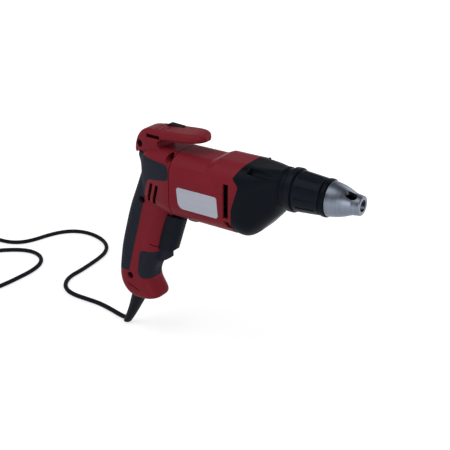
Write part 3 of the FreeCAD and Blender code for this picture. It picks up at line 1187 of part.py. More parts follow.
def spring(name, place, length, up, radius, wire, turns):
    """A round wire coil along X, wound evenly over its length and made of tangent arcs."""
    first = size(place) + size(wire) / 2
    run = size(length) - size(wire)
    steps = int(round(size(turns) * POINTS_PER_TURN))
    points = []
    for step in range(steps + 1):
        angle = 2 * math.pi * size(turns) * step / steps
        points.append(vec(first + run * step / steps, size(radius) * math.cos(angle),
                          size(up) + size(radius) * math.sin(angle)))
    curve = Part.BSplineCurve()
    curve.interpolate(points)
    path = Part.Wire([arc.toShape() for arc in curve.toBiArcs(size("spring_play"))])
    way = curve.tangent(curve.FirstParameter)[0]
    ring = Part.Wire(Part.Circle(points[0], way, size(wire) / 2).toShape())
    feature = doc.addObject("Part::Feature", name)
    feature.Shape = path.makePipeShell([ring], True, False)
    return feature


keep(spring("clutch_spring", "wheel_front + seat_gap + washer_thickness + run_gap",
            "disc_x + spring_pocket - wheel_front - seat_gap - washer_thickness - 2 * run_gap",
            "axis_up", "spring_r", "spring_wire", "spring_turns"), "clutch_spring")

# Bit holder and bit.
holder = turned("bit_holder", "axis_up", [
    ("spindle_end_x", "0"), ("holder_end_x", "0"), ("holder_end_x", "holder_r", "collar_round"),
    ("spindle_end_x", "holder_r", "collar_round")])
doc.recompute()
shank_sketch = hexagon(sketch_on(holder, "YZ_Plane", "holder_shank_hex", "spindle_end_x", up="axis_up"),
                       "hex_across")
grow(holder, "Pad", shank_sketch, "holder_shank - seat_gap", reverse=True)
socket_sketch = hexagon(sketch_on(holder, "YZ_Plane", "holder_socket_hex", "holder_end_x", up="axis_up"),
                        "hex_across + hex_gap")
grow(holder, "Pocket", socket_sketch, "socket_depth")
keep(holder, "bit_holder")
bit_start = "holder_end_x - socket_depth"
bit = turned("screwdriver_bit", "axis_up", [
    (f"{bit_start} + bit_hex_length", "0"), ("bit_end", "0"), ("bit_end", "bit_tip_r"),
    ("bit_end - bit_tip_length", "bit_neck_r"), (f"{bit_start} + bit_hex_length", "bit_neck_r")])
doc.recompute()
bit_sketch = hexagon(sketch_on(bit, "YZ_Plane", "bit_hex", bit_start, up="axis_up"), "hex_across")
grow(bit, "Pad", bit_sketch, "bit_hex_length")
keep(bit, "screwdriver_bit")

# Armature: shaft with its pinion, slotted core, windings, commutator and fan.
shaft_rod = rod("shaft_rod", (1, 0, 0), "shaft_r", "pinion_x - shaft_rear_x", x="shaft_rear_x", z="motor_up")
pinion = gear("pinion_form", "pinion_teeth", "pinion_x", "pinion_length", "motor_up", "", 90)
keep(joined("armature_shaft", [shaft_rod, pinion]), "armature_shaft")
core = turned("armature_core", "motor_up", [
    ("core_x", "shaft_r"), ("core_x + core_length", "shaft_r"), ("core_x + core_length", "core_r"),
    ("core_x", "core_r")])
doc.recompute()
core_axis = core.Tip.Profile[0]
slot_sketch = outline(sketch_on(core, "YZ_Plane", "core_slot", "core_x", up="motor_up"), [
    ("-core_slot_width / 2", "core_r - core_slot_depth"), ("core_slot_width / 2", "core_r - core_slot_depth"),
    ("core_slot_width / 2", "core_r + core_slot_depth"),
    ("-core_slot_width / 2", "core_r + core_slot_depth")])
slot_cut = grow(core, "Pocket", slot_sketch, "core_length", reverse=True)
around(core, slot_cut, core_axis, "core_slots")
keep(core, "armature_core")
winding_ends = [turned(f"winding_{number}", "motor_up", [
    (start, "shaft_r"), (f"{start} + winding_length", "shaft_r"),
    (f"{start} + winding_length", "winding_r", "winding_length / 4"),
    (start, "winding_r", "winding_length / 4")])
    for number, start in enumerate(("core_x - winding_length", "core_x + core_length"))]
keep(gathered("armature_windings", winding_ends), "armature_windings")
keep(turned("commutator", "motor_up", [
    ("commutator_x", "shaft_r"), ("commutator_x + commutator_length", "shaft_r"),
    ("commutator_x + commutator_length", "commutator_r"), ("commutator_x", "commutator_r")]), "commutator")
fan = turned("fan", "motor_up", [
    ("fan_x", "shaft_r"), ("fan_x", "fan_hub_r"), ("fan_x + fan_length - fan_disc", "fan_hub_r"),
    ("fan_x + fan_length - fan_disc", "fan_r"), ("fan_x + fan_length", "fan_r"),
    ("fan_x + fan_length", "shaft_r")])
doc.recompute()
fan_axis = fan.Tip.Profile[0]
blade_sketch = outline(sketch_on(fan, "YZ_Plane", "fan_blade", "fan_x", up="motor_up"), [
    ("-blade_thickness / 2", "fan_hub_r - blade_thickness"),
    ("blade_thickness / 2", "fan_hub_r - blade_thickness"),
    ("blade_thickness / 2", "fan_r - blade_thickness"), ("-blade_thickness / 2", "fan_r - blade_thickness")])
blade = grow(fan, "Pad", blade_sketch, "fan_length - fan_disc / 2")
around(fan, blade, fan_axis, "fan_blades")
keep(fan, "fan")

# Stator, its coils, the brush gear and the rear bearing's holder.
stator_r = "housing_half_width - housing_wall - seat_gap"
bore_r = "core_r + air_gap"
keep(turned("stator_core", "motor_up", [
    ("core_x", bore_r), ("core_x + core_length", bore_r), ("core_x + core_length", stator_r),
    ("core_x", stator_r)]), "stator_core")
coils = []
for number, (start, side) in enumerate((("core_x - coil_overhang", 1), ("core_x - coil_overhang", -1),
                                        ("core_x + core_length", 1), ("core_x + core_length", -1))):
    coil = turned(f"stator_coil_{number}", "motor_up", [
        (start, f"{side} * ({bore_r})"), (f"{start} + coil_overhang", f"{side} * ({bore_r})"),
        (f"{start} + coil_overhang", f"{side} * ({bore_r} + coil_depth)", "coil_depth / 4"),
        (start, f"{side} * ({bore_r} + coil_depth)", "coil_depth / 4")])
    bind(coil.Tip, "Angle", "coil_spread")
    coil.Tip.Midplane = True
    coils.append(coil)
keep(gathered("stator_coils", coils), "stator_coils")
brush_slab = block("brush_slab", "brush_plate_x", "-" + reach, "0", "brush_plate_x + brush_plate_width",
                   reach,
                   "2 * (" + reach + ")")
brush_form = shared("brush_form", handle_space, brush_slab)
brush_holes = joined("brush_holes", boss_rods + [
    rod("brush_plate_hole", (1, 0, 0), "brush_plate_hole_r", "2 * overrun", x="brush_plate_x - overrun",
        z="motor_up")])
keep(without("brush_plate", brush_form, brush_holes), "brush_plate")
rear_slab = block("rear_slab", "rear_plate_x", "-" + reach, "motor_up - 2 * bearing_r",
                  "rear_plate_x + bearing_width",
                  reach, "2 * (" + reach + ")")
rear_form = shared("rear_form", handle_space, rear_slab)
rear_holes = joined("rear_holes", boss_rods + [
    rod("rear_bearing_bore", (1, 0, 0), "bearing_r", "2 * overrun", x="rear_plate_x - overrun",
        z="motor_up")])
keep(without("rear_bearing_holder", rear_form, rear_holes), "rear_bearing_holder")
brush_x = "commutator_x + (commutator_length - brush_width) / 2"
holders = []
brushes = []
for number, side in enumerate((-1, 1)):
    def span(near, far):
        """Both ends of a stretch along Y on this side, the smaller first."""
        ends = (f"{side} * ({near})", f"{side} * ({far})")
        return ends if side > 0 else ends[::-1]
    brush_ends = span("commutator_r + brush_gap", "commutator_r + brush_gap + brush_length")
    holder_ends = span("commutator_r + holder_gap", "commutator_r + holder_gap + holder_length")
    carbon = block(f"brush_{number}", brush_x, brush_ends[0], "motor_up - brush_height / 2",
                   f"{brush_x} + brush_width", brush_ends[1], "motor_up + brush_height / 2")
    box = block(f"brush_box_{number}", f"{brush_x} - holder_wall", holder_ends[0],
                "motor_up - brush_height / 2 - holder_wall", "brush_plate_x", holder_ends[1],
                "motor_up + brush_height / 2 + holder_wall")
    brushes.append(carbon)
    holders.append(without(f"brush_holder_{number}", box, carbon))
keep(gathered("brush_holders", holders), "brush_holders")
keep(gathered("carbon_brushes", brushes), "carbon_brushes")

# Trigger, its spring, the switch behind it and the capacitor under the switch.
trigger_block = side_prism("trigger_block", [
    ("trigger_rear_bottom", "trigger_bottom"), ("trigger_front_bottom", "trigger_bottom", "trigger_round"),
    ("trigger_front_top", "trigger_top", "trigger_round"), ("trigger_rear_top", "trigger_top")],
    "trigger_half_width")
plunger_sketch = round_hole(sketch_on(trigger_block, "YZ_Plane", "plunger", "plunger_x + trigger_round"),
                            "0", "plunger_up", "plunger_r")
grow(trigger_block, "Pad", plunger_sketch, "plunger_reach + trigger_round", reverse=True)
front_lean = "(trigger_front_top - trigger_front_bottom) / (trigger_top - trigger_bottom)"
trigger_wrap = lofted("trigger_wrap", [
    across_z(f"trigger_{end} {way} trigger_round", "trigger_rear_bottom - 2 * overrun",
             f"trigger_front_{end} {way} {front_lean} * trigger_round", "trigger_half_width", "trigger_edge")
    for end, way in (("bottom", "-"), ("top", "+"))])
keep(shared("trigger", trigger_block, trigger_wrap), "trigger")
lean = "(trigger_rear_top - trigger_rear_bottom) / (trigger_top - trigger_bottom)"
switch_low_x = f"trigger_rear_bottom + {lean} * (switch_bottom - trigger_bottom) - switch_gap"
switch_high_x = f"trigger_rear_bottom + {lean} * (switch_top - trigger_bottom) - switch_gap"
switch = side_prism("switch_body", [
    (switch_low_x, "switch_bottom"), (switch_high_x, "switch_top"),
    (f"{switch_high_x} - switch_depth", "switch_top"), (f"{switch_low_x} - switch_depth", "switch_bottom")],
    "grip5_half_width - shell_wall - seat_gap")
doc.recompute()
well_sketch = round_hole(sketch_on(switch, "YZ_Plane", "plunger_well", "plunger_x"), "0", "plunger_up",
                         "plunger_r + seat_gap")
grow(switch, "Pocket", well_sketch, "plunger_reach + trigger_travel + seat_gap")
keep(switch, "switch_body")
keep(spring("trigger_spring", "plunger_x - switch_gap + trigger_spring_wire",
            "switch_gap - 2 * trigger_spring_wire", "plunger_up",
            "trigger_spring_r", "trigger_spring_wire", "trigger_spring_turns"), "trigger_spring")
keep(block("capacitor", f"{switch_low_x} - switch_depth + trigger_round", "-capacitor_half_width",
           "switch_bottom - capacitor_height",
           f"{switch_low_x} - switch_depth + trigger_round + capacitor_depth", "capacitor_half_width",
           "switch_bottom"), "capacitor")

# Reversing lever under the motor housing, on its pin, and the slide in the hook's crown.
lever = new_body("reverse_lever")
lever_sketch = outline(sketch_on(lever, "XY_Plane", "lever_outline", "lever_bottom"), [
    ("lever_pivot_x - lever_half_width", "-lever_half_width", "lever_half_width - run_gap"),
    ("lever_tip_x", "-lever_half_width", "lever_half_width - run_gap"),
    ("lever_tip_x", "lever_half_width", "lever_half_width - run_gap"),
    ("lever_pivot_x - lever_half_width", "lever_half_width", "lever_half_width - run_gap")])
round_hole(lever_sketch, "lever_pivot_x", "0", "lever_pin_r + run_gap")
grow(lever, "Pad", lever_sketch, "lever_thickness")
keep(lever, "reverse_lever")
keep(rod("lever_pin", (0, 0, 1), "lever_pin_r", "lever_thickness + lever_pin_reach",
         x="lever_pivot_x", z="lever_bottom"), "lever_pin")
slide_knob = side_prism("slide_knob", [
    ("slide_x", "slide_floor + run_gap"), ("slide_x + slide_length", "slide_floor + run_gap"),
    ("slide_x + slide_length", "slide_top - slide_ramp", "collar_round"),
    ("slide_x", "slide_top", "collar_round")],
    "slide_half_width", "slide_y")
slide_foot = block("slide_foot", "slide_x + slide_half_width", "slide_y - slide_foot_half_width",
                   "slide_floor - slide_foot_depth", "slide_x + slide_length - slide_half_width",
                   "slide_y + slide_foot_half_width", "slide_floor + slide_foot_depth / 2")
keep(joined("selector_slide", [slide_knob, slide_foot]), "selector_slide")

# Nameplate on the housing's right side, left bare.
plate = new_body("nameplate")
plate_right = "plate_left_x + plate_length"
plate_sketch = outline(sketch_on(plate, "XZ_Plane", "nameplate_outline", "housing_half_width"), [
    ("plate_left_x + plate_slant", "motor_up + plate_low", "plate_big_corner"),
    (f"{plate_right} + plate_slant", "motor_up + plate_low", "plate_corner"),
    (plate_right, "motor_up + plate_low + plate_height", "plate_corner"),
    ("plate_left_x", "motor_up + plate_low + plate_height", "plate_corner")])
grow(plate, "Pad", plate_sketch, "plate_thickness")
keep(plate, "nameplate")

# Strain relief: a tapering boot under the handle, with a flange held by the shells and a tip along the cord.
boot = new_body("strain_relief")
boot_slices = []
for number in range(4):
    share = f"{number} / 3"
    bow = f"boot_bow * 4 * {share} * (1 - {share})"
    spot = f"boot_top_x + (boot_end_x - boot_top_x) * {share} + {bow}"
    slice_r = f"boot_top_r + (boot_end_r - boot_top_r) * {share}"
    slice_sketch = sketch_on(boot, "XY_Plane", f"boot_slice_{number}",
                             f"boot_top + (boot_end + boot_tip / 2 - boot_top) * {share}")
    boot_slices.append(round_hole(slice_sketch, spot, "0", slice_r))
boot_loft = boot.newObject("PartDesign::AdditiveLoft", "boot_loft")
boot_loft.Profile = boot_slices[0]
boot_loft.Sections = boot_slices[1:]
boot_flange = rod("boot_flange", (0, 0, 1), "boot_flange_r", "boot_flange", x="boot_top_x", z="boot_top")
cord_way = vec(-size("cord_lean"), 0, -size("cord_fall")).normalize()
boot_tip = rod("boot_tip", tuple(-cord_way), "boot_end_r", "boot_tip", x="boot_end_x", z="boot_end")
keep(joined("strain_relief", [boot, boot_flange, boot_tip]), "strain_relief")

# Cord on the floor: route points from the strain relief to the coil, as (x, y).
ROUTE = [(-54, 2.6), (-74, 7), (-95, 10), (-116, 9), (-136, 8.4), (-153, 13), (-166, 25), (-173, 42),
         (-172.6, 62), (-174, 82), (-176, 102), (-180, 121), (-191, 138), (-208, 149.5), (-228, 155.5),
         (-248, 156), (-266, 149), (-279, 135), (-287, 116), (-292, 97), (-300, 81), (-314, 71),
         (-332, 67.5), (-350, 68), (-367, 67), (-382, 60.5), (-393, 48.5), (-397.5, 33), (-395, 17),
         (-386, 4), (-372, -4), (-356.5, -5), (-342, 2), (-331, 15), (-319.5, 31), (-306, 46.5),
         (-290.5, 58.5), (-276.7, 65.4), (-261.8, 67), (-247.4, 62.6), (-235.9, 53), (-229.1, 39.6),
         (-226.6, 22), (-227.3, 4), (-228.4, -14), (-231, -31.5), (-234.6, -48), (-236.6, -63)]


def tube(name, points, diameter):
    """A round tube along straight runs joined by tangent arcs; prints its least radius and its length."""
    edges = []
    start = points[0]
    least = 0
    for before, corner, after in zip(points, points[1:], points[2:]):
        back = before - corner
        ahead = after - corner
        bend = math.pi - back.getAngle(ahead)
        reach = size("bend_share") * min(back.Length, ahead.Length)
        radius = reach / math.tan(bend / 2)
        least = min(least or radius, radius)
        first = corner + back.normalize() * reach
        last = corner + ahead.normalize() * reach
        toward = (back + ahead).normalize()
        middle = corner + toward * (radius / math.cos(bend / 2) - radius)
        edges.append(Part.LineSegment(start, first).toShape())
        edges.append(Part.Arc(first, middle, last).toShape())
        start = last
    edges.append(Part.LineSegment(start, points[-1]).toShape())
    path = Part.Wire(edges)
    way = (points[1] - points[0]).normalize()
    ring = Part.Wire(Part.Circle(points[0], way, diameter / 2).toShape())
    feature = doc.addObject("Part::Feature", name)
    feature.Shape = path.makePipeShell([ring], True, False)
    full = math.pi * diameter ** 2 / 4 * path.Length
    print(name, "length", round(path.Length), "least radius", round(least, 1),
          "volume share", round(feature.Shape.Volume / full, 4))
    return feature


cord_up = size("cord_up")
coil_up = size("floor_up + tie_thickness + tie_gap + cord_d / 2")
coil_start = vec(size("coil_x + coil_r"), size("coil_y"), coil_up)
lead_in = size("lead_in")
boot_mouth = vec(size("boot_end_x"), 0, size("boot_end"))
cord_points = [boot_mouth, boot_mouth + cord_way * size("cord_fall")]
cord_points += [vec(x, y, cord_up) for x, y in ROUTE]
coil_mouth = coil_start + vec(0, size("cord_d"), 0)
cord_points += [coil_mouth + vec(0, lead_in, 0), coil_mouth]
keep(tube("cord", cord_points, size("cord_d")), "cord")


# Put-away coil: spirals in on the floor, climbs where it reverses and spirals out on top.
def coil_point(turn):
    """Place on the coil's middle line after a number of turns."""
    pitch = size("coil_pitch")
    inward = size("coil_in_turns")
    climb = size("coil_climb_turns")
    least_r = size("coil_r") - inward * pitch
    if turn <= inward:
        radius = size("coil_r") - turn * pitch
        lift = 0
    elif turn <= inward + climb:
        radius = least_r - size("coil_tuck") * math.sin(math.pi * (turn - inward) / climb)
        lift = pitch * (turn - inward) / climb
    else:
        radius = least_r + (turn - inward - climb) * pitch
        lift = pitch
    angle = -2 * math.pi * turn
    return vec(size("coil_x") + radius * math.cos(angle), size("coil_y") + radius * math.sin(angle),
               coil_up + lift)


coil_turns = size("coil_in_turns + coil_climb_turns + coil_out_turns")
steps = int(round(coil_turns * POINTS_PER_TURN))
coil_points = [coil_point(coil_turns * step / steps) for step in range(steps + 1)]
coil_curve = Part.BSplineCurve()
coil_curve.interpolate(coil_points)
coil_arcs = coil_curve.toBiArcs(size("arc_play"))
coil_end = coil_points[-1] + vec(-size("cord_d"), 0, 0)
coil_wire = Part.Wire([Part.LineSegment(coil_mouth, coil_points[0]).toShape()]
                      + [arc.toShape() for arc in coil_arcs]
                      + [Part.LineSegment(coil_points[-1], coil_end).toShape()])
coil_ring = Part.Wire(Part.Circle(coil_mouth, vec(0, -1, 0), size("cord_d") / 2).toShape())
cord_coil = doc.addObject("Part::Feature", "cord_coil")
cord_coil.Shape = coil_wire.makePipeShell([coil_ring], True, False)
keep(cord_coil, "cord_coil")
print("cord_coil length", round(coil_wire.Length), "arcs", len(coil_arcs), "volume share",
      round(cord_coil.Shape.Volume / (math.pi * size("cord_d") ** 2 / 4 * coil_wire.Length), 4))
half_turn = int(steps / (2 * coil_turns))
least_gap = min((near - far).Length for place, near in enumerate(coil_points)
                for far in coil_points[place + half_turn:]) - size("cord_d")
print("cord_coil least gap", round(least_gap, 2))

# Coil tie: a flat band around the turns, on the coil's far side from the plug.
inner_r = "coil_r - coil_in_turns * coil_pitch - coil_tuck - cord_d / 2 - tie_gap"
outer_r = "coil_r + cord_d / 2 + tie_gap"
band_low = "floor_up + tie_thickness"
band_high = "floor_up + tie_thickness + 2 * tie_gap + cord_d + coil_pitch"
tie = new_body("cord_tie")
tie_sketch = sketch_on(tie, "YZ_Plane", "tie_section", "coil_x", along="coil_y")
for grown, corner in (("tie_thickness", "tie_corner"), ("0", "tie_corner - tie_thickness")):
    outline(tie_sketch, [(f"{inner_r} - {grown}", f"{band_low} - {grown}", corner),
                         (f"{outer_r} + {grown}", f"{band_low} - {grown}", corner),
                         (f"{outer_r} + {grown}", f"{band_high} + {grown}", corner),
                         (f"{inner_r} - {grown}", f"{band_high} + {grown}", corner)])
grow(tie, "Pad", tie_sketch, "tie_width", symmetric=True)
keep(tie, "cord_tie")

# Cord's end and the two-pin plug beside the coil.
plug_up = size("floor_up + plug_height / 2")
bow = size("tail_bow")
run = size("tail_length") / 4
tail_points = [coil_end, coil_end + vec(-run, 0, 0),
               vec(coil_end.x - 2 * run, coil_end.y - bow, plug_up - bow / 2),
               vec(coil_end.x - 3 * run, coil_end.y - bow, plug_up),
               vec(coil_end.x - 4 * run, coil_end.y - bow, plug_up)]
keep(tube("cord_tail", tail_points, size("cord_d")), "cord_tail")
plug_y = "coil_y - coil_r + (coil_in_turns - coil_out_turns) * coil_pitch - tail_bow"
plug_z = "floor_up + plug_height / 2"
plug_x = "coil_x - cord_d - tail_length"


def plug_section(place, half_width, half_height, corner):
    return ("YZ_Plane", place, [
        (f"{plug_y} - {half_width}", f"{plug_z} - {half_height}", corner),
        (f"{plug_y} + {half_width}", f"{plug_z} - {half_height}", corner),
        (f"{plug_y} + {half_width}", f"{plug_z} + {half_height}", corner),
        (f"{plug_y} - {half_width}", f"{plug_z} + {half_height}", corner)])


keep(lofted("plug", [
    plug_section(plug_x, "plug_rear_r", "plug_rear_r", "plug_rear_r - run_gap"),
    plug_section(f"{plug_x} - plug_rear_r", "plug_rear_r", "plug_rear_r", "plug_rear_r - run_gap"),
    plug_section(f"{plug_x} - plug_length + plug_front", "plug_width / 2", "plug_height / 2", "plug_corner"),
    plug_section(f"{plug_x} - plug_length", "plug_width / 2", "plug_height / 2", "plug_corner")],
    ruled=True), "plug")
pins = [rod(f"plug_pin_{number}", (-1, 0, 0), "pin_r", "pin_length", x=f"{plug_x} - plug_length",
            y=f"{plug_y} + {side} * pin_spacing / 2", z=plug_z) for number, side in enumerate((-1, 1))]
keep(gathered("plug_pins", pins), "plug_pins")

# Every piece is checked and written on its own.
doc.recompute()
for thing in doc.Objects:
    if "Invalid" in thing.State or "Error" in thing.State:
        raise RuntimeError(f"{thing.Name} does not build: {thing.State}")
os.makedirs("parts", exist_ok=True)
for thing, node in kept:
    if thing.Shape.isNull() or not thing.Shape.isValid() or not thing.Shape.Solids:
        raise RuntimeError(f"{node} has no valid solid")
    Part.export([thing], f"parts/{node}.step")
print(len(kept), "pieces written")
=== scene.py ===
import math

import bmesh
import bpy
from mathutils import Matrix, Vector


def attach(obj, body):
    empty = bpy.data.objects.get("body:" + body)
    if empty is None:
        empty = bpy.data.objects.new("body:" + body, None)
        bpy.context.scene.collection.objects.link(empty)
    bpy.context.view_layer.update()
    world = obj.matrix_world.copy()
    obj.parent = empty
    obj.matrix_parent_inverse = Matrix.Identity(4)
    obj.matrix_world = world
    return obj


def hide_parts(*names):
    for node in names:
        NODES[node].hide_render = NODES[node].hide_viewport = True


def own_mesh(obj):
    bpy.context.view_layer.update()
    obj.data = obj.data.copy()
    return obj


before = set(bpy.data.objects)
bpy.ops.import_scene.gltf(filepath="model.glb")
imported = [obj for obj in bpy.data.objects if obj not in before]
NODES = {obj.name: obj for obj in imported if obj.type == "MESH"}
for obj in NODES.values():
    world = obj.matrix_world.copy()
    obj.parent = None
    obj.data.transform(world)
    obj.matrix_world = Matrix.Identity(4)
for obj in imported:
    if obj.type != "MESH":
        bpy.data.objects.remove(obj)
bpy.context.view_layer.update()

# Table and backdrop: one pale sheet that the cord lies on. It is white where the
# camera or a bright surface sees it, and keeps the tool's soft shadow.
MM = 0.001
FLOOR_UP = -121.0 * MM
FLOOR_REACH = 30.0
FLOOR_COLOUR = (0.62, 0.62, 0.625, 1)
FLOOR_ROUGH = 0.9
FLOOR_GLOSS = 0.1
NEAR_GLOW = 0.60
FAR_GLOW = 1.0
GLOW_START = 0.25
GLOW_END = 1.1
WHITE = (1, 1, 1, 1)
scene = bpy.context.scene


def combined(tree, operation, first, second):
    """One number made of two."""
    node = tree.nodes.new("ShaderNodeMath")
    node.operation = operation
    tree.links.new(first, node.inputs[0])
    tree.links.new(second, node.inputs[1])
    return node.outputs[0]


def stretched(tree, source, low, high, start, end):
    """The node that turns low to high of the source into start to end, and stays there beyond."""
    node = tree.nodes.new("ShaderNodeMapRange")
    for socket, value in (("From Min", low), ("From Max", high), ("To Min", start), ("To Max", end)):
        node.inputs[socket].default_value = value
    tree.links.new(source, node.inputs["Value"])
    return node


def seen_rays(tree):
    """One where the camera, a mirror or a glass looks, and zero for the light itself."""
    path = tree.nodes.new("ShaderNodeLightPath")
    total = path.outputs["Is Camera Ray"]
    for ray in ("Is Glossy Ray", "Is Transmission Ray"):
        total = combined(tree, "MAXIMUM", total, path.outputs[ray])
    return total


floor_mesh = bpy.data.meshes.new("table_sheet")
floor_mesh.from_pydata(
    [(x * FLOOR_REACH, y * FLOOR_REACH, FLOOR_UP) for x, y in ((-1, -1), (1, -1), (1, 1), (-1, 1))],
    [], [(0, 1, 2, 3)])
floor = bpy.data.objects.new("table_sheet", floor_mesh)
scene.collection.objects.link(floor)
paper = bpy.data.materials.new("pale_paper")
paper.use_nodes = True
tree = paper.node_tree
surface = tree.nodes["Principled BSDF"]
surface.inputs["Base Color"].default_value = FLOOR_COLOUR
surface.inputs["Roughness"].default_value = FLOOR_ROUGH
surface.inputs["Specular IOR Level"].default_value = FLOOR_GLOSS
surface.inputs["Emission Color"].default_value = WHITE
distance = tree.nodes.new("ShaderNodeVectorMath")
distance.operation = "LENGTH"
tree.links.new(tree.nodes.new("ShaderNodeTexCoord").outputs["Object"], distance.inputs[0])
spread = stretched(tree, distance.outputs["Value"], GLOW_START, GLOW_END, NEAR_GLOW, FAR_GLOW)
glow = combined(tree, "MULTIPLY", seen_rays(tree), spread.outputs[0])
tree.links.new(glow, surface.inputs["Emission Strength"])
floor_mesh.materials.append(paper)

# Studio light: an even white room under a dim ceiling, one wide lamp high on the camera's
# left, and weaker ones on the camera's side and behind the tool. A lamp has its place, what
# it points at and its width in metres, and its power in watts.
ROOM_STRENGTH = 0.40
WALL_TOP = 0.06
WALL_STRENGTH = 1.0
CEILING_FROM = 0.38
CEILING_STRENGTH = 0.20
LAMPS = [
    ("key_lamp", (-0.30, -0.50, 1.30), (0.10, 0.0, 0.05), 1.2, 7.0),
    ("side_lamp", (0.95, -1.15, 0.45), (0.12, 0.0, 0.03), 0.9, 5.5),
    ("rim_lamp", (0.35, 1.05, 0.75), (0.12, 0.0, 0.05), 0.8, 3.0),
]
world = bpy.data.worlds.new("white_room")
scene.world = world
world.use_nodes = True
tree = world.node_tree
sky = tree.nodes["Background"]
sky.inputs["Color"].default_value = WHITE
height = tree.nodes.new("ShaderNodeSeparateXYZ")
tree.links.new(tree.nodes.new("ShaderNodeTexCoord").outputs["Generated"], height.inputs[0])
walls = stretched(tree, height.outputs["Z"], WALL_TOP, CEILING_FROM, WALL_STRENGTH, CEILING_STRENGTH)
strength = stretched(tree, seen_rays(tree), 0, 1, ROOM_STRENGTH, WALL_STRENGTH)
tree.links.new(walls.outputs[0], strength.inputs["To Max"])
tree.links.new(strength.outputs[0], sky.inputs["Strength"])
for name, place, aim, width, power in LAMPS:
    data = bpy.data.lights.new(name, "AREA")
    data.shape = "DISK"
    data.size = width
    data.energy = power
    lamp = bpy.data.objects.new(name, data)
    lamp.location = place
    lamp.rotation_euler = (Vector(aim) - Vector(place)).to_track_quat("-Z", "Y").to_euler()
    scene.collection.objects.link(lamp)
scene.view_settings.view_transform = "Standard"

# Camera: stands to the right of the tool's front and looks down on it. Its angles are in
# degrees, and its focal length is in pixels of a square picture.
CAMERA_AZIMUTH = 33.8
CAMERA_ELEVATION = 25.0
CAMERA_PLACE = (577.7 * MM, -709.7 * MM, 443.1 * MM)
CAMERA_FOCAL_PX = 890
IMAGE_PX = 450
SENSOR_WIDTH = 36
NEAREST_SEEN = 0.01
camera_data = bpy.data.cameras.new("camera")
camera_data.sensor_width = SENSOR_WIDTH
camera_data.lens = SENSOR_WIDTH * CAMERA_FOCAL_PX / IMAGE_PX
camera_data.clip_start = NEAREST_SEEN
camera = bpy.data.objects.new("camera", camera_data)
camera.location = CAMERA_PLACE
camera.rotation_euler = (math.radians(90 - CAMERA_ELEVATION), 0, math.radians(CAMERA_AZIMUTH))
scene.collection.objects.link(camera)
scene.camera = camera

# Motor: a steel shaft with its pinion, a slotted core of steel sheets, copper windings, a
# commutator and a moulded fan, which turn on two bearings inside a wound stator. Carbon
# brushes press on the commutator.
STEEL = (0.36, 0.37, 0.39)
SHEETS = (0.13, 0.135, 0.145)
COPPER = (0.50, 0.19, 0.08)
BRONZE = (0.40, 0.27, 0.12)
CARBON = (0.03, 0.03, 0.032)
CAST = (0.42, 0.43, 0.45)
NYLON = (0.005, 0.0055, 0.007)
CLOUD_DETAIL = 6
CLOUD_SPAN = (0.3, 0.7)
EDGE_SAMPLES = 4
EDGE_TURN = (0.15, 0.9)
# Edges are lightened towards a paler copy of the colour, partly for rubbed wear and partly as a painted
# highlight.
WEAR_HIGHLIGHT_SHARE = 0.5
WEAR_HIGHLIGHT_LIFT = 0.12
# Painted shade: the finish darkens hollows, slots and gaps towards this near-black where ambient occlusion
# finds them.
HOLLOW_SHADE = (0.003, 0.003, 0.0035, 1)
HOLLOW_SHADE_REACH = 9 * MM
HOLLOW_SHADE_SAMPLES = 8
HOLLOW_SHADE_SPAN = (0.12, 0.55)
GRAIN_STRENGTH = 0.6


def coated(tree, under, share, colour):
    """The colour underneath with this share of another one over it."""
    mix = tree.nodes.new("ShaderNodeMix")
    mix.data_type = "RGBA"
    mix.inputs["B"].default_value = colour
    tree.links.new(share, mix.inputs["Factor"])
    tree.links.new(under, mix.inputs["A"])
    return mix.outputs["Result"]


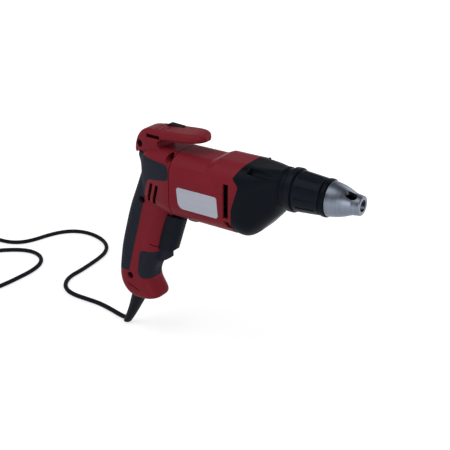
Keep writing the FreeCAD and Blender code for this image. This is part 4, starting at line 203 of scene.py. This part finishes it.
def finish(name, colour, rough, metal=0.0, gloss=0.5, drift=0.06, drift_size=12, grain=0.35, depth=0.03,
           uneven=0.04, stretch=(1, 1, 1), edge=0.5, wear_and_highlight=0.0, painted_shade=0.0, pebbles=False):
    """A material with colour drift, grain, uneven gloss, edges lightened by wear and a painted highlight, and
    painted shade darkening its hollows; sizes in mm.
    """
    made = bpy.data.materials.new(name)
    made.use_nodes = True
    tree = made.node_tree
    shader = tree.nodes["Principled BSDF"]
    shader.inputs["Metallic"].default_value = metal
    shader.inputs["Specular IOR Level"].default_value = gloss
    lie = tree.nodes.new("ShaderNodeMapping")
    lie.inputs["Scale"].default_value = stretch
    tree.links.new(tree.nodes.new("ShaderNodeTexCoord").outputs["Object"], lie.inputs["Vector"])

    clouds = tree.nodes.new("ShaderNodeTexNoise")
    clouds.inputs["Scale"].default_value = 1 / (drift_size * MM)
    clouds.inputs["Detail"].default_value = CLOUD_DETAIL
    tree.links.new(lie.outputs[0], clouds.inputs["Vector"])
    ramp = tree.nodes.new("ShaderNodeValToRGB")
    for stop, share, shade in zip(ramp.color_ramp.elements, CLOUD_SPAN, (1 - drift, 1 + drift)):
        stop.position = share
        stop.color = [min(1, channel * shade) for channel in colour] + [1]
    tree.links.new(clouds.outputs["Fac"], ramp.inputs["Fac"])

    softened = tree.nodes.new("ShaderNodeBevel")
    softened.samples = EDGE_SAMPLES
    softened.inputs["Radius"].default_value = edge * MM
    turned = tree.nodes.new("ShaderNodeVectorMath")
    turned.operation = "DISTANCE"
    tree.links.new(softened.outputs["Normal"], turned.inputs[0])
    tree.links.new(tree.nodes.new("ShaderNodeNewGeometry").outputs["Normal"], turned.inputs[1])
    # The edges found here are lightened, partly for wear and partly as a painted highlight.
    edge_wear_and_highlight = stretched(tree, turned.outputs["Value"], *EDGE_TURN, 0, wear_and_highlight)
    patchy = combined(tree, "MULTIPLY", edge_wear_and_highlight.outputs[0], clouds.outputs["Fac"])
    paler = [WEAR_HIGHLIGHT_SHARE * channel + WEAR_HIGHLIGHT_LIFT for channel in colour] + [1]
    coat = coated(tree, ramp.outputs["Color"], patchy, paler)
    # Painted shade: hollows, slots and gaps that ambient occlusion finds are darkened towards a near-black.
    if painted_shade:
        corners = tree.nodes.new("ShaderNodeAmbientOcclusion")
        corners.samples = HOLLOW_SHADE_SAMPLES
        corners.inputs["Distance"].default_value = HOLLOW_SHADE_REACH
        shade_share = stretched(tree, corners.outputs["AO"], *HOLLOW_SHADE_SPAN, painted_shade, 0)
        coat = coated(tree, coat, shade_share.outputs[0], HOLLOW_SHADE)
    tree.links.new(coat, shader.inputs["Base Color"])

    grains = tree.nodes.new("ShaderNodeTexVoronoi" if pebbles else "ShaderNodeTexNoise")
    grains.inputs["Scale"].default_value = 1 / (grain * MM)
    tree.links.new(lie.outputs[0], grains.inputs["Vector"])
    bump = tree.nodes.new("ShaderNodeBump")
    bump.inputs["Strength"].default_value = GRAIN_STRENGTH
    bump.inputs["Distance"].default_value = depth * MM
    tree.links.new(grains.outputs["Distance" if pebbles else "Fac"], bump.inputs["Height"])
    tree.links.new(softened.outputs["Normal"], bump.inputs["Normal"])
    tree.links.new(bump.outputs["Normal"], shader.inputs["Normal"])

    sheen = stretched(tree, clouds.outputs["Fac"], *CLOUD_SPAN, rough - uneven, rough + uneven)
    tree.links.new(sheen.outputs[0], shader.inputs["Roughness"])
    return made


def dress(material, *nodes):
    """Gives CAD nodes that keep their shape this finish."""
    for node in nodes:
        mesh = NODES[node].data
        mesh.materials.clear()
        mesh.materials.append(material)


tool_steel = finish("ground_steel", STEEL, 0.32, metal=1, stretch=(12, 1, 1), uneven=0.08)
dress(tool_steel, "armature_shaft", "front_bearing", "rear_bearing")
dress(finish("sheet_stack", SHEETS, 0.45, metal=1, stretch=(60, 1, 1), grain=1, depth=0.1),
      "armature_core", "stator_core")
dress(finish("lacquered_copper", COPPER, 0.35, metal=1, stretch=(1, 6, 6), grain=0.8, depth=0.2),
      "armature_windings", "stator_coils", "commutator")
bronze = finish("pressed_bronze", BRONZE, 0.42, metal=1, wear_and_highlight=0.2)
dress(bronze, "brush_holders")
dress(finish("pressed_carbon", CARBON, 0.6, grain=0.15), "carbon_brushes")
cast_alloy = finish("cast_alloy", CAST, 0.5, metal=1, grain=0.6, depth=0.05)
dress(cast_alloy, "rear_bearing_holder")
inner_plastic = finish("black_nylon", NYLON, 0.42, gloss=0.05)
dress(inner_plastic, "fan", "brush_plate")

# Drive: a steel gear on its arbor, and a spindle with the clutch's dogs, which runs in a
# bronze bush and carries the bit in its holder. A cast plate parts them from the motor.
dress(tool_steel, "drive_gear", "gear_arbor", "gear_bearing", "output_spindle", "thrust_washer",
      "bit_holder", "screwdriver_bit")
dress(bronze, "spindle_bush")
dress(cast_alloy, "gear_plate")

# Springs: wound from hard steel wire. One keeps the clutch apart and one sends the trigger
# back. The trigger's sags towards its front, to stay clear of the plunger.
SEWN_WITHIN = 0.002 * MM
SHARP_FROM = 35
# A row ends with the way the spring closes, its fixed end, the share left when closed, and its sag.
SPRINGS = [
    ("clutch_coil", "clutch_spring", "carrier", "spindle_push", (1, 0, 0), (159.35, 0, 105), 0.69, 0),
    ("trigger_coil", "trigger_spring", "housing", "trigger_slide", (44, 0, -12), (8.3, 0, 18), 0.12, 0.115),
]


def merged_copy(node):
    """The node's shape as one sewn-up mesh in work."""
    form = bmesh.new()
    form.from_mesh(NODES[node].data)
    bmesh.ops.remove_doubles(form, verts=form.verts, dist=SEWN_WITHIN)
    return form


def shown(name, form, material, body, node=None, sharp=SHARP_FROM):
    """Makes a piece of a mesh in work and puts it on its body, in place of the node."""
    mesh = bpy.data.meshes.new(name)
    form.to_mesh(mesh)
    form.free()
    mesh.shade_smooth()
    mesh.set_sharp_from_angle(angle=math.radians(sharp))
    mesh.materials.clear()
    mesh.materials.append(material)
    piece = bpy.data.objects.new(name, mesh)
    scene.collection.objects.link(piece)
    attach(piece, body)
    if node:
        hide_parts(node)
    return piece


for name, node, body, joint, lean, seat, closed, sag in SPRINGS:
    form = merged_copy(node)
    for corner in form.verts:
        corner.co.z -= sag * (corner.co.x - seat[0] * MM)
    coil = shown(name, form, tool_steel, body, node)
    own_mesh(coil)

# Motor housing: a one-piece moulding in dark red plastic with a fine matt grain. Its edges are
# a little brighter, partly rubbed by the hand and partly a painted highlight, and painted shade darkens its
# hollows.
RED = (0.202, 0.0150, 0.0250)
red_plastic = finish("red_moulding", RED, 0.42, gloss=0.06, drift=0.07, drift_size=30, grain=0.45,
                     depth=0.025, uneven=0.06, edge=0.25, wear_and_highlight=0.03, painted_shade=0.95)
dress(red_plastic, "motor_housing")

# Gear case: a blue-black plastic moulding on the housing's front, held by four screws. Two
# beads run round its neck behind the depth collar.
CASE = (0.0058, 0.0083, 0.0125)
AXIS_UP = 105
# The outline of both beads, each point its place along the axis and its radius.
NECK_BEADS = [(174.2, 19.6), (174.5, 20.75), (174.9, 21.05), (175.6, 21.05), (175.8, 20.7), (176.1, 20.7),
              (176.3, 21.05), (177.2, 21.05), (177.5, 20.75), (177.6, 19.6)]
TURN_STEPS = 96
full_turn = [2 * math.pi * step / TURN_STEPS for step in range(TURN_STEPS)]


def skinned(rings, endless=False):
    """A mesh in work with a skin from ring to ring, back to the first or shut at both ends; sizes in mm."""
    form = bmesh.new()
    rounds = [[form.verts.new([length * MM for length in point]) for point in ring] for ring in rings]
    if endless:
        rounds.append(rounds[0])
    else:
        for end in (rounds[0], rounds[-1]):
            form.faces.new(end)
    for here, beside in zip(rounds, rounds[1:]):
        for place in range(len(here)):
            form.faces.new((here[place - 1], here[place], beside[place], beside[place - 1]))
    bmesh.ops.recalc_face_normals(form, faces=form.faces)
    return form


# Its finish paints shade into the case's hollows and lightens its edges a little, for wear and as a painted
# highlight.
case_plastic = finish("blue_black_moulding", CASE, 0.40, gloss=0.04, drift=0.10, drift_size=30, grain=0.45,
                      depth=0.025, uneven=0.06, wear_and_highlight=0.03, painted_shade=0.7)
dress(case_plastic, "gear_case")
beads = skinned([[(x, radius * math.cos(turn), AXIS_UP + radius * math.sin(turn)) for x, radius in NECK_BEADS]
                 for turn in full_turn], endless=True)
shown("neck_beads", beads, case_plastic, "housing")

# Screws: black pan heads with a cross recess and plain shanks. Four hold the gear case and
# stand in its channels, and four lie deep in the right shell and join the two shells.
SCREW_BLACK = (0.006, 0.0065, 0.008)
SCREW_SIDES = 28
DOME_RINGS = 14
CUTTER_SHARE = 3
RECESS_SHARE = 1.25
CASE_SCREWS = [(144, 19.8, 121.3), (144, -19.8, 121.3), (144, 13, 56), (144, -13, 56)]
CASE_SCREW_TURN = (0, 90, 0)
CASE_SCREW = [("Head Radius", 2.3), ("Head Height", 1.6), ("Shank Radius", 1.6), ("Shank Length", 8.0),
              ("Recess Width", 0.8), ("Recess Depth", 1.0)]
SHELL_SCREWS = [(1.6, -9, 120.4), (49.2, -9, 116.2), (5.6, -9, 57.4), (-17.5, -9, -43.5)]
SHELL_SCREW_TURN = (90, 0, 0)
SHELL_SCREW = [("Head Radius", 3.4), ("Head Height", 2.1), ("Shank Radius", 1.9), ("Shank Length", 18.0),
               ("Recess Width", 1.0), ("Recess Depth", 1.3)]


def screw_tree(material):
    """Puts a screw on each point: a domed head less a cross, over a round shank."""
    tree = bpy.data.node_groups.new("cross_screws", "GeometryNodeTree")
    face = tree.interface
    face.new_socket("Places", in_out="INPUT", socket_type="NodeSocketGeometry")
    for name, value in CASE_SCREW:
        face.new_socket(name, in_out="INPUT", socket_type="NodeSocketFloat").default_value = value * MM
    face.new_socket("Turn", in_out="INPUT", socket_type="NodeSocketVector")
    face.new_socket("Screws", in_out="OUTPUT", socket_type="NodeSocketGeometry")
    start = tree.nodes.new("NodeGroupInput").outputs

    def node(kind, links=(), **settings):
        """A node with its settings, and a link or a plain value at each socket named."""
        made = tree.nodes.new(kind)
        for name, value in settings.items():
            setattr(made, name, value)
        for socket, source in links:
            if isinstance(source, bpy.types.NodeSocket):
                tree.links.new(source, made.inputs[socket])
            else:
                made.inputs[socket].default_value = source
        return made

    def sized(value, share):
        """The value times the share."""
        return node("ShaderNodeMath", ((0, value), (1, share)), operation="MULTIPLY").outputs[0]

    def corner(x, y, z):
        """Three numbers as one vector."""
        return node("ShaderNodeCombineXYZ", ((0, x), (1, y), (2, z))).outputs[0]

    def moved(geometry, socket, change):
        """The shape after one change, its translation or its scale."""
        return node("GeometryNodeTransform", (("Geometry", geometry), (socket, change))).outputs[0]

    def block(size, place):
        """A box with its middle at this place."""
        box = node("GeometryNodeMeshCube", (("Size", size),))
        return moved(box.outputs["Mesh"], "Translation", place)

    head_radius = start["Head Radius"]
    head_height = start["Head Height"]
    ball = node("GeometryNodeMeshUVSphere",
                (("Segments", SCREW_SIDES), ("Rings", DOME_RINGS), ("Radius", 1.0)))
    head = moved(ball.outputs["Mesh"], "Scale", corner(head_radius, head_radius, head_height))
    around = sized(head_radius, CUTTER_SHARE)
    below = block(corner(around, around, sized(head_height, 2)), corner(0.0, 0.0, sized(head_height, -1)))
    wide = sized(head_radius, RECESS_SHARE)
    narrow = start["Recess Width"]
    deep = sized(start["Recess Depth"], 2)
    top = corner(0.0, 0.0, head_height)
    for cut in (below, block(corner(wide, narrow, deep), top), block(corner(narrow, wide, deep), top)):
        less = node("GeometryNodeMeshBoolean", operation="DIFFERENCE")
        tree.links.new(head, less.inputs["Mesh 1"])
        tree.links.new(cut, less.inputs["Mesh 2"])
        head = less.outputs["Mesh"]
    rod = node("GeometryNodeMeshCylinder", (("Vertices", SCREW_SIDES), ("Radius", start["Shank Radius"]),
                                            ("Depth", start["Shank Length"])))
    middle = corner(0.0, 0.0, sized(start["Shank Length"], -0.5))
    shank = moved(rod.outputs["Mesh"], "Translation", middle)
    screw = node("GeometryNodeJoinGeometry")
    for part in (head, shank):
        tree.links.new(part, screw.inputs[0])
    spots = node("GeometryNodeMeshToPoints", (("Mesh", start["Places"]),))
    placed = node("GeometryNodeInstanceOnPoints", (
        ("Points", spots.outputs[0]), ("Instance", screw.outputs[0]), ("Rotation", start["Turn"])))
    whole = node("GeometryNodeRealizeInstances", (("Geometry", placed.outputs[0]),))
    dressed = node("GeometryNodeSetMaterial", (("Geometry", whole.outputs[0]), ("Material", material)))
    tree.links.new(dressed.outputs[0], node("NodeGroupOutput").inputs["Screws"])
    return tree


def screws(name, tree, places, turn, sizes):
    """The tree's screws at these places as one plain mesh."""
    spots = bpy.data.meshes.new(name + "_places")
    spots.from_pydata([[length * MM for length in place] for place in places], [], [])
    piece = bpy.data.objects.new(name, spots)
    scene.collection.objects.link(piece)
    modifier = piece.modifiers.new("screws", "NODES")
    modifier.node_group = tree
    sockets = {item.name: item.identifier for item in tree.interface.items_tree if item.in_out == "INPUT"}
    for size, value in sizes:
        modifier[sockets[size]] = value * MM
    modifier[sockets["Turn"]] = [math.radians(angle) for angle in turn]
    mesh = bpy.data.meshes.new_from_object(piece.evaluated_get(bpy.context.evaluated_depsgraph_get()))
    piece.modifiers.remove(modifier)
    piece.data = mesh
    mesh.name = name
    mesh.shade_smooth()
    mesh.set_sharp_from_angle(angle=math.radians(SHARP_FROM))
    return piece


screw_steel = finish("black_screw_steel", SCREW_BLACK, 0.40, gloss=0.04, wear_and_highlight=0.08)
screw_group = screw_tree(screw_steel)
case_screws = screws("case_screws", screw_group, CASE_SCREWS, CASE_SCREW_TURN, CASE_SCREW)
shell_screws = screws("joining_screws", screw_group, SHELL_SCREWS, SHELL_SCREW_TURN, SHELL_SCREW)
for piece, node in ((case_screws, "gear_case_screws"), (shell_screws, "shell_screws")):
    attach(piece, "housing")
    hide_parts(node)

# Depth stop: a ribbed collar and a retaining ring, moulded, and a bright turned nosepiece
# whose tool marks run round it.
COLLAR = (0.0066, 0.0093, 0.0148)
RING = (0.0035, 0.0050, 0.0085)
ALLOY = (0.172, 0.193, 0.240)
dress(finish("collar_moulding", COLLAR, 0.38, gloss=0.06, grain=0.45, wear_and_highlight=0.10), "depth_collar")
dress(finish("ring_moulding", RING, 0.36, gloss=0.05, grain=0.45, wear_and_highlight=0.06), "retaining_ring")
dress(finish("turned_alloy", ALLOY, 0.34, metal=1, drift=0.16, drift_size=40, stretch=(40, 1, 1), grain=9,
             depth=0.05, uneven=0.07, wear_and_highlight=0.5), "nosepiece")

# Handle shells: right and left halves moulded in the housing's red plastic and joined by
# screws. Thin dark screens stand behind the air slots of each, and a short web closes them
# above the trigger.
WEB_REACH = ((33.0, 37.5), (-7.0, 7.0), (42.0, 50.5))
# A screen has two ends seen from above, a lower and an upper edge, and a thickness.
SCREENS = [(((15.5, 17.3), (38.0, 25.6)), (58.5, 80.4), 0.6),
           (((22.0, 20.5), (29.8, 23.7)), (80.2, 84.8), 0.4),
           (((31.6, 24.5), (38.5, 25.9)), (80.2, 84.8), 0.2)]


def plates(corner_sets):
    """A mesh in work with a flat-sided plate through each set of corners, in mm."""
    form = bmesh.new()
    for corners in corner_sets:
        points = [form.verts.new([length * MM for length in corner]) for corner in corners]
        bmesh.ops.convex_hull(form, input=points)
    bmesh.ops.recalc_face_normals(form, faces=form.faces)
    return form


dress(red_plastic, "handle_shell_right", "handle_shell_left")
screens = plates([[(x, side * (y - inward), up) for x, y in ends for inward in (0, wall) for up in heights]
                  for side in (-1, 1) for ends, heights, wall in SCREENS])
shown("air_screens", screens, inner_plastic, "housing")
web = plates([[(x, y, up) for x in WEB_REACH[0] for y in WEB_REACH[1] for up in WEB_REACH[2]]])
shown("trigger_web", web, red_plastic, "housing")

# Grip rubber: slate-black soft mouldings with a fine pebble grain, set into the shells. The
# rear ones flare out at the top to meet the hook's root.
RUBBER = (0.0200, 0.0220, 0.0330)
ROOT_BACK = 1.5 * MM
ROOT_UP = 108.0 * MM
ROOT_REACH = 7.6 * MM
FLARE_UP = 92.0 * MM
FLARE_DEPTH = 12.0 * MM
FLARE_FULL = 10.5 * MM
FLARE_END = 16.5 * MM
FLARE_RISE = 2.2
FLARE_FADE = 1.5
FINE_EDGE = 1.6 * MM
FINE_ROUNDS = 5
RUBBER_SHARP_FROM = 30
rubber = finish("grip_rubber", RUBBER, 0.60, gloss=0.04, drift=0.10, drift_size=25, grain=0.7, depth=0.06,
                pebbles=True, wear_and_highlight=0.05)
dress(rubber, "front_grip_right", "front_grip_left")
for side in ("right", "left"):
    form = merged_copy("rear_grip_" + side)
    # Long edges near the top are cut up first, so that the flare comes out smooth.
    for again in range(FINE_ROUNDS):
        long_edges = [edge for edge in form.edges if edge.calc_length() > FINE_EDGE
                      and max(corner.co.z for corner in edge.verts) > FLARE_UP
                      and min(corner.co.x for corner in edge.verts) < ROOT_BACK + FLARE_DEPTH]
        bmesh.ops.subdivide_edges(form, edges=long_edges, cuts=1, use_grid_fill=True)
        bmesh.ops.triangulate(form, faces=form.faces)
    for corner in form.verts:
        rise = min(1, max(0, (corner.co.z - FLARE_UP) / (ROOT_UP - FLARE_UP)))
        depth = min(1, max(0, 1 - (corner.co.x - ROOT_BACK) / FLARE_DEPTH))
        aside = min(1, max(0, (FLARE_END - abs(corner.co.y)) / (FLARE_END - FLARE_FULL)))
        eased = aside * aside * (3 - 2 * aside)
        corner.co.x -= ROOT_REACH * rise ** FLARE_RISE * depth ** FLARE_FADE * eased
    shown("rear_rubber_" + side, form, rubber, "housing", "rear_grip_" + side,
          sharp=RUBBER_SHARP_FROM)

# Controls: a moulded trigger, the switch behind it and a capacitor under that, the reversing
# lever, a flat arm on a steel pin with a thumb pad at its tip, and the slide on the hook's
# crown.
TRIGGER = (0.0092, 0.0118, 0.0175)
PAD_MIDDLE = (66.0, 0.0, 45.0)
PAD_SIZE = (7.5, 8.5, 3.2)
PAD_SQUARE = 0.55
PAD_SIDES = 40
PAD_RINGS = 24
dress(finish("trigger_moulding", TRIGGER, 0.48, gloss=0.04, drift=0.08, grain=0.4, wear_and_highlight=0.06), "trigger")
dress(inner_plastic, "switch_body", "capacitor", "selector_slide")
dress(tool_steel, "lever_pin")
lever_form = merged_copy("reverse_lever")
pad = bmesh.ops.create_uvsphere(lever_form, u_segments=PAD_SIDES, v_segments=PAD_RINGS, radius=1)
for corner in pad["verts"]:
    corner.co = [(middle + reach * math.copysign(abs(share) ** PAD_SQUARE, share)) * MM
                 for middle, reach, share in zip(PAD_MIDDLE, PAD_SIZE, corner.co)]
shown("reversing_lever", lever_form, inner_plastic, "lever", "reverse_lever")

# Nameplate: a bare silvery foil with a fine brushed grain, stuck on the right side of the
# motor housing.
FOIL = (0.47, 0.49, 0.57)
dress(finish("plate_foil", FOIL, 0.42, gloss=0.15, drift=0.03, drift_size=6, stretch=(0.15, 1, 3), grain=0.4,
             depth=0.01), "nameplate")

# Cord boot: a soft cone of rubber, held by its flange between the shells. It guards the cord
# where it leaves the grip, and its end all but stands on the table.
CORD_BLACK = (0.0090, 0.0105, 0.0150)
# Each round has its middle's place along the tool, its height and its radius.
BOOT_ROUNDS = [(-15.5, -64.5, 12.5), (-15.5, -67.5, 12.5), (-15.5, -67.5, 10.5), (-19.0, -77.0, 9.3),
               (-24.8, -90.0, 7.7), (-28.0, -97.0, 7.0), (-31.4, -104.0, 6.3), (-35.6, -112.0, 5.6),
               (-38.7, -117.5, 5.1), (-40.0, -119.8, 4.7), (-40.3, -120.3, 4.2)]
cord_rubber = finish("cord_rubber", CORD_BLACK, 0.5, gloss=0.05, drift=0.12, grain=0.5, depth=0.03)
boot = skinned([[(x + radius * math.cos(turn), radius * math.sin(turn), up) for turn in full_turn]
                for x, up, radius in BOOT_ROUNDS])
cord_boot = shown("cord_boot", boot, cord_rubber, "housing", "strain_relief")

# Mains cord: a round rubber lead that leaves the boot backwards, falls to the table and
# wanders off to the left. The rest of it is wound in two layers, tied, and ends in a plug.
CORD_D = 5.7 * MM
CORD_UP = -118.15
CORD_ROUNDNESS = 3
CORD_STEPS = 8
CORD_ORDER = 3
BOOT_MOUTH = (-37.3, 0, -111.2)
BOOT_BEND = (-40.98, 0, -116.8)
CORD_ROUTE = [
    (-54, 2.6), (-74, 7), (-95, 10), (-116, 9), (-136, 8.4), (-153, 13), (-166, 25), (-173, 42),
    (-172.6, 62), (-174, 82), (-176, 102), (-180, 121), (-191, 138), (-208, 149.5), (-228, 155.5),
    (-248, 156), (-266, 149), (-279, 135), (-287, 116), (-292, 97), (-300, 81), (-314, 71), (-332, 67.5),
    (-350, 68), (-367, 67), (-382, 60.5), (-393, 48.5), (-397.5, 33), (-395, 17), (-386, 4), (-372, -4),
    (-356.5, -5), (-342, 2), (-331, 15), (-319.5, 31), (-306, 46.5), (-290.5, 58.5), (-276.7, 65.4),
    (-261.8, 67), (-247.4, 62.6), (-235.9, 53), (-229.1, 39.6), (-226.6, 22), (-227.3, 4), (-228.4, -14),
    (-231, -31.5), (-234.6, -48), (-236.6, -63)]
COIL_MIDDLE = (-282, -95, -116.6)
COIL_RADIUS = 45
COIL_PITCH = 6.2
COIL_LEAD = [(-237, -78.3), (-237, -89.3)]
TURNS_IN = 3.5
TURNS_UP = 0.5
TURNS_OUT = 3.25
COIL_TUCK = 0.9
POINTS_PER_TURN = 12
TAIL_ROUTE = [(-287.7, -138.45, -110.4), (-302.7, -138.45, -110.4), (-317.7, -140.05, -109.3),
              (-332.7, -140.05, -108.5), (-347.7, -140.05, -108.5)]


def coil_point(turn):
    """Control point beside the coil's middle line, on the tangents of its turns."""
    inner = COIL_RADIUS - TURNS_IN * COIL_PITCH
    climb = min(1, max(0, (turn - TURNS_IN) / TURNS_UP))
    if turn < TURNS_IN:
        radius = COIL_RADIUS - turn * COIL_PITCH
    else:
        widened = max(0, turn - TURNS_IN - TURNS_UP) * COIL_PITCH
        radius = inner + widened - COIL_TUCK * math.sin(math.pi * climb)
    radius /= math.cos(math.pi / POINTS_PER_TURN)
    angle = -2 * math.pi * turn
    return (COIL_MIDDLE[0] + radius * math.cos(angle), COIL_MIDDLE[1] + radius * math.sin(angle),
            COIL_MIDDLE[2] + climb * COIL_PITCH)


coil_steps = round((TURNS_IN + TURNS_UP + TURNS_OUT) * POINTS_PER_TURN)
cord_points = [BOOT_MOUTH, BOOT_BEND]
cord_points += [(x, y, CORD_UP) for x, y in CORD_ROUTE]
cord_points += [(x, y, COIL_MIDDLE[2]) for x, y in COIL_LEAD]
cord_points += [coil_point((step + 0.5) / POINTS_PER_TURN) for step in range(coil_steps)]
cord_points += TAIL_ROUTE
cord_line = bpy.data.curves.new("mains_cord", "CURVE")
cord_line.dimensions = "3D"
cord_line.bevel_depth = CORD_D / 2
cord_line.bevel_resolution = CORD_ROUNDNESS
cord_line.resolution_u = CORD_STEPS
cord_line.use_fill_caps = True
spline = cord_line.splines.new("NURBS")
spline.points.add(len(cord_points) - 1)
for point, place in zip(spline.points, cord_points):
    point.co = [length * MM for length in place] + [1]
spline.order_u = CORD_ORDER
spline.use_endpoint_u = True
mains_cord = bpy.data.objects.new("mains_cord", cord_line)
scene.collection.objects.link(mains_cord)
cord_line.materials.append(cord_rubber)
dress(cord_rubber, "cord_tie", "plug")
dress(bronze, "plug_pins")
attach(mains_cord, "housing")
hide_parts("cord", "cord_coil", "cord_tail")
